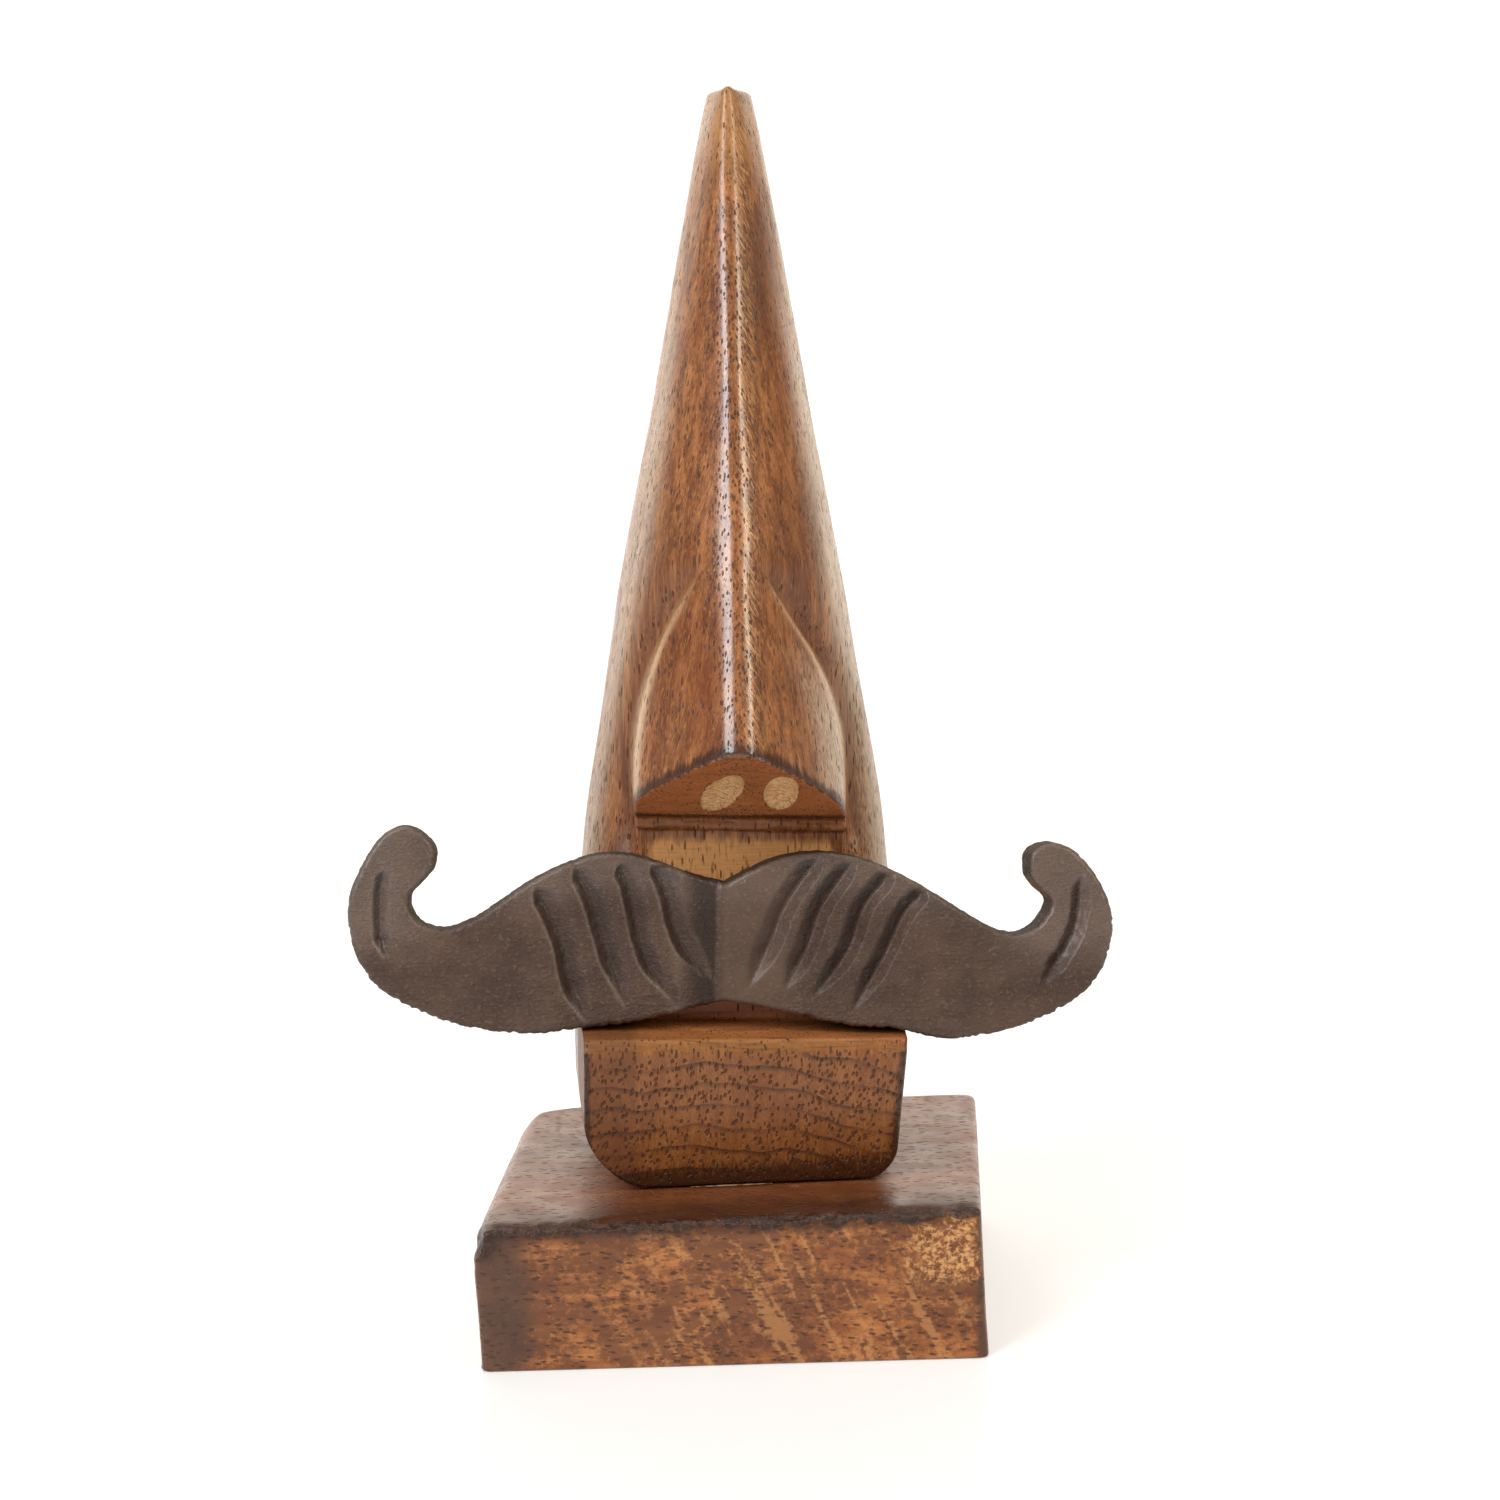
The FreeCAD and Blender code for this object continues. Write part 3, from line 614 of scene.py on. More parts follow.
def outline_map(loop, xs, us):
    """Signed distance to a closed outline on a grid, negative inside."""
    px, pu = (g.ravel() for g in np.meshgrid(xs, us, indexing="ij"))
    best = np.full(px.shape, FAR)
    inside = np.zeros(px.shape, bool)
    for a, b in zip(loop, np.roll(loop, -1, axis=0)):
        d = b - a
        t = np.clip(((px - a[0]) * d[0] + (pu - a[1]) * d[1]) / (d @ d + 1e-12), 0.0, 1.0)
        best = np.minimum(best, (px - a[0] - t * d[0]) ** 2 + (pu - a[1] - t * d[1]) ** 2)
        if a[1] != b[1]:
            crosses = (a[1] > pu) != (b[1] > pu)
            inside ^= crosses & (px < a[0] + (pu - a[1]) / (b[1] - a[1]) * d[0])
    distance = np.sqrt(best)
    return np.where(inside, -distance, distance).reshape(len(xs), len(us))


def gouge_map(xs, us):
    """Depth of the gouge cuts over the board's face, and of the crease down its middle."""
    px, pu = (g.ravel() for g in np.meshgrid(xs, us, indexing="ij"))
    total = np.zeros(px.shape)
    for path, wide_left, wide_right, depth in GOUGES:
        line = smooth_path(path)
        best = np.full(px.shape, FAR)
        side = np.zeros(px.shape)
        place = np.zeros(px.shape)
        steps = np.linspace(0.0, 1.0, len(line))
        for k, (a, b) in enumerate(zip(line[:-1], line[1:])):
            d = b - a
            t = np.clip(((px - a[0]) * d[0] + (pu - a[1]) * d[1]) / (d @ d), 0.0, 1.0)
            gap = np.hypot(px - a[0] - t * d[0], pu - a[1] - t * d[1])
            nearer = gap < best
            best = np.where(nearer, gap, best)
            side = np.where(nearer, d[0] * (pu - a[1]) - d[1] * (px - a[0]), side)
            place = np.where(nearer, steps[k] + t / (len(line) - 1), place)
        width = np.where(side > 0, wide_right, wide_left)
        chatter = 1.0 + 0.08 * np.sin(34.0 * place) * step_up(place, 0.5, 0.7)
        fade = between(place, -0.02, 0.16, 0.78, 1.02)
        taper = 0.35 + 0.65 * fade
        wall = np.clip(1.0 - best / (width * taper), 0.0, 1.0)
        total = np.maximum(total, 1.6 * depth * fade * wall * chatter)
    valley = 0.45 * np.exp(-np.abs(px + 0.8) / 2.6)
    valley += 0.35 * between(-px, 0.8, 1.1, 1.2, 9.0)
    return (total + valley).reshape(len(xs), len(us))


def smooth_path(points):
    """Rounded open path through points."""
    p = np.array(points, float)
    t = np.arange(len(p))
    fine = np.linspace(0, len(p) - 1, 6 * len(p))
    rows = [np.column_stack([t, p[:, k]]) for k in range(2)]
    return np.column_stack([curve(row, 1, fine) for row in rows])


def grid_reader(xs, us, values):
    """Function that reads values on an even grid, straight between the nearest points."""
    step = xs[1] - xs[0]

    def at(x, u):
        gx = np.clip((x - xs[0]) / step, 0, len(xs) - 1.001)
        gu = np.clip((u - us[0]) / step, 0, len(us) - 1.001)
        i, j = gx.astype(int), gu.astype(int)
        a, b = gx - i, gu - j
        near = values[i, j] * (1 - b) + values[i, j + 1] * b
        far = values[i + 1, j] * (1 - b) + values[i + 1, j + 1] * b
        return near * (1 - a) + far * a

    return at


def board_frame():
    """Corner and axes of the moustache board: across, up its face, and to its back."""
    c, k = math.cos(TILT_ANGLE), math.sin(TILT_ANGLE)
    turn = np.array([[c, 0, k], [0, 1, 0], [-k, 0, c]])
    up = turn @ np.array([0, math.sin(LIP_LEAN), math.cos(LIP_LEAN)])
    back = turn @ np.array([0, math.cos(LIP_LEAN), -math.sin(LIP_LEAN)])
    foot = np.array([BOARD_SHIFT, LIP_FOOT, LEDGE_HEIGHT - BOARD_SHIFT * TILT])
    return foot - back * GLUE_GAP + up * BOARD_LIFT, turn @ np.array([1.0, 0, 0]), up, back


def make_moustache(material):
    """Moustache: sawn outline, gouged face, rough edges."""
    loop = np.concatenate([smooth_outline(RIGHT_HALF), smooth_outline(LEFT_HALF)])
    xs = np.arange(-52.0, 54.0, 0.25)
    us = np.arange(-4.0, 29.0, 0.25)
    edge = outline_map(loop, xs, us)
    flat = np.stack(np.meshgrid(xs, us, indexing="ij"), -1).reshape(-1, 2)
    flat = np.column_stack([flat, np.zeros(len(flat))])
    # the saw left the lower edge rougher, and a little fuller
    rough = 0.30 + 0.70 * step_up(-flat[:, 1] + 0.25 * np.abs(flat[:, 0]), -8.0, 4.0)
    saw = noise(flat, (0.5, 0.5, 1), 11) * 0.26 + noise(flat, (1.3, 1.3, 1), 12) * 0.16
    facing_down = step_up(-np.gradient(edge, us, axis=1), 0.2, 0.8)
    edge += ((np.abs(saw) * rough) + 0.02).reshape(edge.shape) - 0.6 * facing_down
    edge_at = grid_reader(xs, us, edge)
    depth_at = grid_reader(xs, us, gouge_map(xs, us))

    def field(x, y, u):
        front = -y - BOARD_THICKNESS + depth_at(x, u)
        return smooth_max(smooth_max(edge_at(x, u), front, 1.1), y, 0.4)

    points, faces = skin(field, (-51.5, -7.5, -3.0), (53.5, 1.0, 28.0), BOARD_STEP)
    outward = normals(points, faces)
    x, y, u = points.T
    depth = depth_at(x, u)
    bumps = 0.05 * noise(points, (0.8, 9.0, 0.5), 13) + 0.05 * noise(points, (0.6, 0.6, 0.6), 14)
    rubbed = between(x, -1.0, 0.0, 6.0, 12.0)
    points += outward * ((bumps - 0.06) * (1.0 - 0.6 * rubbed))[:, None]
    sideways = step_down(np.abs(outward[:, 1]), 0.25, 0.6)
    # painted sheen on the outer curls and the upper edge, which also get more coat gloss and
    # glints
    board_sheen = step_up(np.abs(x + 1.0), 33.0, 43.0) * step_up(u, 6.0, 13.0)
    upper_edge = step_up(u, 11.0, 19.0) * step_up(edge_at(x, u), -7.0, -1.5)
    shaded_wall = step_up(depth, 0.12, 0.5) * step_up(outward[:, 0], -0.12, 0.12)
    marks = {
        "edge": sideways,
        "low": sideways * step_up(-outward[:, 2], 0.0, 0.5),
        # painted shade on gouge walls that face right, and deeper in the gouges of the left half
        "cut": np.maximum(shaded_wall, 0.45 * step_up(depth, 0.2, 0.8) * (x < -2.5)),
        "rubbed": rubbed,
        "board_sheen": np.maximum(board_sheen, 0.7 * upper_edge),
        # painted highlight along the left rim of each gouge on the left half
        "crease": bell(depth, 0.14, 0.1) * step_up(outward[:, 0], 0.0, 0.2) * (x < -3.0),
    }
    foot, across, up, back = board_frame()
    placed = foot + points[:, :1] * across + points[:, 1:2] * back + points[:, 2:] * up
    make_piece("moustache_board", placed, faces, material, ["moustache"], marks)


# ---- base
def base_field(x, y, z):
    """Field of the base: five leaning sides, a worn front edge and a chipped corner."""
    t = z / (BASE_HEIGHT - BROW_DROP)
    corners = [[a + (b - a) * t for a, b in zip(*ends)] for ends in zip(BASE_FOOT, BASE_BROW)]
    sides = []
    for k in range(5):
        (ax, ay), (bx, by) = corners[k], corners[(k + 1) % 5]
        length = np.hypot(bx - ax, by - ay)
        sides.append(((x - ax) * (by - ay) - (y - ay) * (bx - ax)) / length)
    front, right, rear, corner, left = sides
    top = z - BASE_HEIGHT
    worn = 0.6 + 0.13 * np.sin(x * 0.35) + 0.12 * np.sin(x * 1.13 + 1.0)
    # small chip at the front left of the top edge
    chip = 1.9 - np.sqrt((x + 35.7) ** 2 + (0.55 * (y + 26.2)) ** 2 + (0.8 * (z - 18.2)) ** 2)
    body = front
    for cut, soft in (
        (right, 1.2),
        (rear, 2.0),
        (left, 1.5),
        (corner - 1.3, 4.0),
        (0.62 * front + 0.785 * top + worn, 0.8),
        (top, 1.3),
        (0.75 * (left + 0.9) + 0.66 * (top + 0.9), 1.0),
        (chip, 0.5),
        (-z, 0.5),
    ):
        body = smooth_max(body, cut, soft)
    return body


def make_base(material):
    """Base: sawn block with a charred, lumpy front edge and a pitted patch."""
    points, faces = skin(base_field, (-36.5, -28.5, -1.0), (40.0, 28.5, 21.0), BASE_STEP)
    outward = normals(points, faces)
    x, y, z = points.T
    front = step_up(-outward[:, 1], 0.35, 0.7)
    behind = y + 27.3 - 0.063 * (x + 34.05)
    wander = noise(points, (2.4, 30.0, 30.0), 26) + 0.5 * noise(points, (0.9, 0.9, 0.9), 27)
    edge = step_up(z + 0.9 * wander, 18.0, 19.3) * step_down(behind - 0.8 * wander, 0.4, 2.2)
    corner = bell(x, -33.5, 3.0) * bell(z, 17.5, 2.5) * bell(y, -26.0, 4.0)
    patch = front * np.exp(-((((x - 26.4) / 5.6) ** 2 + ((z - 14.4) / 5.2) ** 2) ** 1.2))
    lumps = 0.34 * noise(points, (1.8, 1.4, 1.1), 21) + 0.1 * noise(points, (0.7, 0.7, 0.6), 22)
    pits = 0.22 * noise(points, (0.9, 0.9, 0.75), 23)
    uneven = 0.07 * noise(points, (14.0, 12.0, 7.0), 24)
    uneven += 0.02 * noise(points, (5.0, 1.2, 1.2), 25)
    lift = uneven - 0.12 + (lumps - 0.2) * np.maximum(edge, corner) + (pits - 0.1) * patch
    points += outward * (lift * step_up(z, 0.1, 1.0))[:, None]
    points[:, 2] = np.maximum(points[:, 2], 0.0)
    marks = {
        "burn": np.maximum(edge * 1.2, corner),
        "front": front,
        "patch": patch,
        "mottled": front * bell(x, -5.0, 12.0),
        "figured": front * step_up(x, -22.0, -6.0),
        "singe": (1.0 - front) * step_down(behind + 1.5 * wander, 1.0, 13.0) * (z > 17.0),
        "left": front * step_down(x, -32.0, -22.5),
        "right": front * step_up(x, 29.0, 31.5),
        "rim": front * step_down(19.0 - z, 0.0, 3.0) * step_up(31.5 - x, 0.0, 9.0),
    }
    make_piece("sawn_base", points, faces, material, ["base_block"], marks)


# ---- materials
class Paint:
    """Small builder for one node material."""

    def __init__(self, name):
        self.material = bpy.data.materials.new(name)
        self.material.use_nodes = True
        self.tree = self.material.node_tree
        self.shader = next(n for n in self.tree.nodes if n.type == "BSDF_PRINCIPLED")
        self.place = self.node("TexCoord").outputs["Object"]

    def put(self, socket, value):
        """Link a socket to another, or set its value."""
        if isinstance(value, bpy.types.NodeSocket):
            self.tree.links.new(value, socket)
        else:
            socket.default_value = value

    def node(self, kind, values=(), **settings):
        """New node with its settings, and its sockets set or linked in order or by name."""
        node = self.tree.nodes.new("ShaderNode" + kind)
        for name, value in settings.items():
            setattr(node, name, value)
        pairs = values.items() if isinstance(values, dict) else enumerate(values)
        for key, value in pairs:
            self.put(node.inputs[key], value)
        return node

    def grain(self, size, turn=(0, 0, 0)):
        """Coordinates in which a texture's features have this size in millimetres."""
        angles = [math.radians(a) for a in turn]
        values = {"Vector": self.place, "Rotation": angles, "Scale": [MM * s for s in size]}
        return self.node("Mapping", values, vector_type="TEXTURE").outputs[0]

    def noise(self, size, detail=2.0, rough=0.5, warp=0.0, turn=(0, 0, 0)):
        """Noise from 0 to 1 with features of this size."""
        values = {"Vector": self.grain(size, turn), "Scale": 1.0, "Detail": detail}
        values.update(Roughness=rough, Distortion=warp)
        return self.node("TexNoise", values).outputs["Fac"]

    def cells(self, size, turn=(0, 0, 0)):
        """Distance to scattered points spaced by this size, and a value per point."""
        values = {"Vector": self.grain(size, turn), "Scale": 1.0, "Randomness": 1.0}
        spots = self.node("TexVoronoi", values).outputs
        return spots["Distance"], self.node("SeparateColor", [spots["Color"]]).outputs[0]

    def dots(self, size, rim, share, turn=(0, 0, 0)):
        """Spots at scattered points, soft over the rim, at only a share of the points."""
        distance, chance = self.cells(size, turn)
        return self.times(self.ramp(distance, *rim), self.ramp(chance, *share))

    def mark(self, name):
        """Value of one of the mesh's marks."""
        return self.node("Attribute", attribute_name=name).outputs["Fac"]

    def math(self, kind, a, b=0.0, c=0.0):
        """Arithmetic on values."""
        return self.node("Math", (a, b, c), operation=kind).outputs[0]

    def times(self, a, b):
        """Product of two marks or values."""
        return self.math("MULTIPLY", self.read(a), self.read(b))

    def ramp(self, value, low, high, bottom=0.0, top=1.0):
        """Value spread smoothly from bottom to top between low and high."""
        values = value, low, high, bottom, top
        return self.node("MapRange", values, interpolation_type="SMOOTHSTEP").outputs[0]

    def mix(self, factor, a, b):
        """One colour over another."""
        a, b = (colour(c) if isinstance(c, tuple) else c for c in (a, b))
        return self.node("Mix", {0: factor, 6: a, 7: b}, data_type="RGBA").outputs[2]

    def read(self, source):
        """A mark's value by name, or the value itself."""
        return self.mark(source) if isinstance(source, str) else source

    def tint(self, under, *coats):
        """Colours laid over another in turn, each by a share of a mark or value."""
        for source, share, shade in coats:
            under = self.mix(self.times(source, share), under, shade)
        return under

    def total(self, start, *parts):
        """Shares of marks or values added to another in turn."""
        for source, share in parts:
            start = self.math("MULTIPLY_ADD", self.read(source), share, start)
        return start

    def largest(self, a, b):
        """Larger of two marks or values."""
        return self.math("MAXIMUM", self.read(a), self.read(b))

    def rest(self, value):
        """What a value leaves of 1."""
        return self.math("SUBTRACT", 1.0, value)

    def bump(self, height):
        """Surface relief from a height in millimetres."""
        return self.node("Bump", {"Strength": 1.0, "Distance": MM, "Height": height}).outputs[0]

    def finish(self, **values):
        """Set the shader's sockets by name."""
        for name, value in values.items():
            self.put(self.shader.inputs[name.replace("_", " ")], value)
        return self.material


def colour(rgb):
    """Linear colour with alpha from 0-255 screen values."""
    linear = [((c / 255 + 0.055) / 1.055) ** 2.4 if c > 10 else c / 255 / 12.92 for c in rgb]
    return (*linear, 1.0)


def growth_rings(p):
    """Thin dark lines where the tree's rings, bent by slow noise, reach the surface."""
    split = p.node("SeparateXYZ", [p.grain((1, 1, 1))])
    aside = p.math("SUBTRACT", split.outputs[0], RING_CENTRE[0])
    far = p.math("SUBTRACT", split.outputs[1], RING_CENTRE[1])
    squares = p.math("ADD", p.math("POWER", aside, 2.0), p.math("POWER", far, 2.0))
    reach = p.total(p.math("SQRT", squares), (p.noise((9.0, 9.0, 14.0), 2.0), 0.9))
    ring = p.math("FRACT", p.math("DIVIDE", reach, RING_SPACING))
    return p.times(p.ramp(ring, 0.66, 0.95), p.ramp(ring, 1.0, 0.96))


def nose_wood():
    """Stained and lacquered hardwood with upright grain, burnt edges and raw cuts."""
    p = Paint("stained_wood_nose")
    streak = p.noise((1.1, 1.3, 30.0), 5.0, 0.65, 0.4)
    broad = p.noise((5.0, 6.0, 60.0), 2.0, 0.5, 0.5)
    fibre = p.noise((0.19, 0.19, 5.0), 3.0, 0.62, 0.2)
    base = p.mix(p.ramp(streak, 0.34, 0.68), (110, 63, 35), (168, 108, 64))
    base = p.mix(p.ramp(broad, 0.48, 0.66, 0.0, 0.55), base, (104, 50, 26))
    base = p.mix(p.ramp(fibre, 0.52, 0.7, 0.0, 0.6), base, (84, 44, 23))
    base = p.mix(p.ramp(fibre, 0.48, 0.3, 0.0, 0.45), base, (204, 146, 86))
    # growth rings, strongest on the chin
    ring_ink = p.times(growth_rings(p), p.total(0.06, ("chin", 0.72)))
    ring_ink = p.times(ring_ink, p.ramp(p.noise((6, 6, 6)), 0.3, 0.6, 0.35, 1.0))
    # painted reflection on the wing rims
    rim_reflection = p.times("pale", p.ramp(fibre, 0.62, 0.4, 0.3, 0.85))
    # painted reflection along the flanks near the outline
    flank_reflection = p.times("flank", p.ramp(fibre, 0.66, 0.42, 0.22, 0.88))
    base = p.tint(
        base,
        ("chin", 0.6, (134, 80, 38)),
        (ring_ink, 1.0, (72, 40, 24)),
        ("cross", 0.82, (152, 88, 50)),
        # painted light on the ledge and the foot of the lip
        ("ledge_light", 0.6, (204, 124, 76)),
        ("worn", 0.4, (190, 142, 92)),
        (rim_reflection, 1.0, (204, 184, 160)),
        (flank_reflection, 1.0, (190, 170, 144)),
        # painted highlight along the wing edges
        ("wing_edge_highlight", 0.38, (226, 182, 126)),
        ("smoke", 0.55, (90, 56, 38)),
        ("red", 0.5, (106, 48, 24)),
        ("band", 0.75, (140, 95, 52)),
        ("bead", 0.7, (122, 70, 34)),
    )
    # cuts across the grain show its lines
    lines = p.ramp(p.noise((14.0, 0.35, 0.35), 3.0), 0.48, 0.72, 0.0, 0.5)
    base = p.mix(p.times(lines, p.largest("cross", "band")), base, (80, 42, 26))
    # raw scraped lip
    scratch = p.noise((0.45, 0.45, 7.0), 3.0, 0.6)
    tan = p.mix(p.ramp(scratch, 0.52, 0.72, 0.0, 0.8), (206, 148, 92), (118, 68, 36))
    comb = p.noise((7.0, 0.4, 0.3), 4.0, 0.7)
    tan = p.mix(p.ramp(comb, 0.4, 0.75, 0.0, 0.45), tan, (150, 96, 50))
    stain = p.total(p.mark("raw"), (p.noise((0.9, 3.0, 6.0), 3.0, 0.6), 0.9))
    raw_edge = p.ramp(stain, 0.75, 1.25)
    base = p.mix(raw_edge, base, tan)
    # gouged pits
    strokes = p.noise((1.6, 0.28, 0.28), 3.0, 0.7, 0.0, (0, 0, 35))
    pit_tan = p.mix(p.ramp(strokes, 0.38, 0.66), (226, 182, 130), (160, 112, 66))
    base = p.mix(p.ramp(p.mark("pit"), 0.25, 0.6), base, pit_tan)
    # pores: long tubes along the grain, cut short on the chin and the crest
    pore = p.dots((0.58, 0.58, 3.4), (0.28, 0.16), (0.2, 0.3))
    pore = p.largest(pore, p.times(p.dots((0.4, 0.4, 2.4), (0.24, 0.12), (0.5, 0.6)), 0.7))
    stub = p.dots((0.72, 0.62, 1.3), (0.36, 0.22), (0.08, 0.16), (0, 14, 0))
    pore = p.largest(pore, p.times(stub, "chin"))
    prick = p.dots((0.5, 0.5, 1.1), (0.34, 0.2), (0.3, 0.4))
    pore = p.largest(pore, p.times(prick, "crest"))
    pore = p.times(pore, p.rest(p.times("pit", 0.8)))
    slant = p.noise((0.22, 0.22, 2.2), 3.0, 0.6, 0.0, (0, -32, 0))
    base = p.tint(
        base,
        # light strokes right of the crest are a painted highlight, dark strokes slanted grain
        (p.times(p.ramp(slant, 0.5, 0.36), "feather_and_highlight"), 0.55, (220, 172, 112)),
        (p.times(p.ramp(slant, 0.52, 0.66), "feather_and_highlight"), 0.6, (92, 52, 30)),
        (pore, 0.72, (60, 32, 19)),
        # painted shade in the hollows beside the wings and beside the lip
        ("shade", 0.38, (86, 47, 28)),
    )
    # scorched edges with painted shade at the chin's foot and in the quirk, broken by upright
    # strokes
    burn = p.total(p.mark("burn"), (p.noise((0.35, 0.35, 4.0), 2.0, 0.6), 1.1))
    base = p.mix(p.ramp(burn, 0.8, 1.4, 0.0, 0.9), base, (58, 30, 16))
    rough = p.total(
        p.ramp(p.noise((3.0, 3.0, 5.0), 3.0, 0.6), 0.3, 0.7, 0.24, 0.34),
        (pore, 0.25),
        (p.largest("pit", raw_edge), 0.3),
        ("crest", -0.08),
        ("shade", 0.2),
    )
    height = p.total(
        p.times(pore, -0.14),
        (fibre, 0.04),
        (p.times(strokes, "pit"), 0.16),
        (p.noise((1.4, 1.4, 9.0), 2.0), 0.05),
    )
    gloss = p.times(p.total(0.1, ("crest", 0.9), ("flank", 0.3)), p.rest(pore))
    return p.finish(
        Base_Color=base,
        Roughness=rough,
        Normal=p.bump(height),
        Coat_Weight=gloss,
        Coat_Roughness=0.2,
        Specular_IOR_Level=0.32,
    )


def base_wood():
    """Stained block with the grain running across, mottled dark, with a charred front edge."""
    p = Paint("base_wood_mottled")
    streak = p.noise((9.0, 3.0, 2.0), 5.0, 0.62, 0.4)
    mottle = p.noise((6.0, 5.0, 8.0), 3.0, 0.55, 0.4, (0, -30, 0))
    dapple = p.noise((1.0, 1.0, 0.8), 4.0, 0.75, 0.2)
    glow = p.noise((1.9, 4.0, 11.0), 2.0, 0.5, 0.5, (0, -27, 0))
    fibre = p.noise((5.0, 0.22, 0.22), 3.0, 0.6)
    crackle = p.noise((0.8, 0.8, 0.8), 4.0, 0.7)
    # dark blotches and pale slanting figure on the front face
    dark = p.total(p.times(mottle, 0.6), (dapple, 0.7), ("mottled", 0.07))
    aglow = p.total(p.times(glow, 1.1), (dapple, -0.5))
    wood = p.mix(p.ramp(streak, 0.34, 0.68), (134, 76, 38), (182, 116, 62))
    wood = p.tint(
        wood,
        (p.times(p.ramp(dark, 0.58, 0.72), "front"), 0.7, (88, 49, 30)),
        (p.times(p.ramp(aglow, 0.35, 0.48), "figured"), 0.55, (192, 134, 80)),
    )
    wood = p.mix(p.ramp(fibre, 0.52, 0.76, 0.0, 0.4), wood, (92, 54, 32))
    pore = p.dots((1.7, 0.6, 0.56), (0.36, 0.2), (0.12, 0.22), (0, 6, 0))
    # top darkens to red brown, sides of the front face are smoked
    wood = p.tint(
        wood,
        (pore, 0.68, (66, 36, 20)),
        (p.rest(p.mark("front")), 0.65, (100, 54, 32)),
        ("singe", 0.85, (54, 29, 20)),
    )
    smoke = p.total(p.largest("left", "right"), (p.noise((5, 5, 5), 3.0), 0.5))
    wood = p.mix(p.ramp(smoke, 0.55, 1.15, 0.0, 0.85), wood, (76, 52, 40))
    # pitted patch: golden tops on its lumps are a painted highlight, among dark flecks
    flecks, _ = p.cells((0.8, 0.8, 0.6))
    speck = p.mix(p.ramp(crackle, 0.42, 0.6), (124, 70, 38), (226, 170, 108))
    speck = p.mix(p.ramp(flecks, 0.35, 0.2, 0.0, 0.6), speck, (78, 44, 26))
    ragged = p.noise((4.5, 4.5, 5.0), 5.0, 0.7, 0.6, (0, -27, 0))
    ragged = p.total(p.mark("patch"), (ragged, 2.2))
    wood = p.mix(p.ramp(ragged, 1.35, 1.9, 0.0, 0.85), wood, speck)
    # scorch running down from the rim, char on the edge, lighter on the tops of its lumps as a
    # painted highlight
    scorch = p.total(p.times("rim", 0.6), (p.noise((2.6, 1.6, 3.0), 4.0, 0.65), 0.7))
    wood = p.mix(p.ramp(scorch, 0.5, 0.95, 0.0, 0.75), wood, (78, 44, 26))
    char = p.mix(p.ramp(crackle, 0.45, 0.68), (42, 25, 18), (88, 55, 38))
    burn = p.total(p.mark("burn"), (crackle, 0.9))
    wood = p.mix(p.ramp(burn, 0.55, 1.3, 0.0, 0.92), wood, char)
    rough = p.total(p.ramp(p.noise((4, 3, 3), 3.0), 0.3, 0.7, 0.26, 0.42), (pore, 0.2))
    chatter = p.times(crackle, p.largest("burn", "patch"))
    height = p.total(p.times(pore, -0.12), (fibre, 0.04), (chatter, 0.35))
    return p.finish(
        Base_Color=wood,
        Roughness=rough,
        Normal=p.bump(height),
        Coat_Weight=0.15,
        Coat_Roughness=0.18,
        Specular_IOR_Level=0.36,
    )


def dark_wood():
    """Dark stain over open grain, half matt, with raw wood showing along the sawn edge."""
    p = Paint("dark_wood_moustache")
    cloud = p.noise((7.0, 7.0, 5.0), 3.0, 0.6)
    peel = p.noise((0.55, 0.55, 0.4), 3.0, 0.6)
    chip = p.total(p.mark("low"), (p.noise((1.2, 1.2, 0.8), 3.0), 0.6))
    stain = p.mix(p.ramp(cloud, 0.3, 0.7), (68, 49, 39), (88, 66, 54))
    stain = p.mix(p.ramp(peel, 0.52, 0.74, 0.0, 0.5), stain, (122, 103, 91))
    # painted glints: light flecks on smoother raised spots, more of them where the sheen lies
    near, glint = p.cells((0.34, 0.34, 0.22), (0, 20, 0))
    share = p.total(0.97, ("board_sheen", -0.42))
    lit = p.ramp(p.math("SUBTRACT", glint, share), 0.0, 0.06)
    lit = p.times(lit, p.ramp(near, 0.45, 0.2))
    spark = p.times(lit, p.ramp(p.noise((2, 2, 1.4), 3.0), 0.35, 0.65))
    stain = p.tint(
        stain,
        # painted sheen on the outer curls and the upper edge
        ("board_sheen", 0.22, (150, 130, 118)),
        # painted shade in the gouges
        ("cut", 0.9, (46, 31, 24)),
        ("rubbed", 0.35, (98, 78, 66)),
        ("edge", 0.7, (44, 31, 24)),
        (p.ramp(chip, 0.95, 1.35, 0.0, 0.8), 1.0, (122, 84, 44)),
        # painted glints
        (spark, 0.42, (172, 156, 143)),
        # painted highlight along the gouge rims
        ("crease", 0.5, (134, 116, 104)),
    )
    rough = p.total(p.ramp(peel, 0.3, 0.7, 0.38, 0.52), ("edge", 0.3), (spark, -0.24))
    height = p.total(
        p.times(peel, 0.55), (p.noise((5.0, 1.0, 0.3), 3.0), 0.16), (spark, 0.12)
    )
    height = p.times(height, p.rest(p.times("rubbed", 0.7)))
    return p.finish(
        Base_Color=stain,
        Roughness=rough,
        Normal=p.bump(height),
        Coat_Weight=p.times(p.total(0.3, ("board_sheen", 0.5)), p.rest(p.mark("edge"))),
        Coat_Roughness=0.34,
        Specular_IOR_Level=0.22,
    )


def two_tone(name, metal, grain, span, shades, rough, relief):
    """Simple material: one noise moves between two shades and two roughnesses."""
    p = Paint(name)
    figure = p.noise(grain, 3.0)
    return p.finish(
        Base_Color=p.mix(p.ramp(figure, *span), *shades),
        Metallic=metal,
        Roughness=p.ramp(figure, 0.2, 0.8, *rough),
        Normal=p.bump(p.times(figure, relief)),
    )


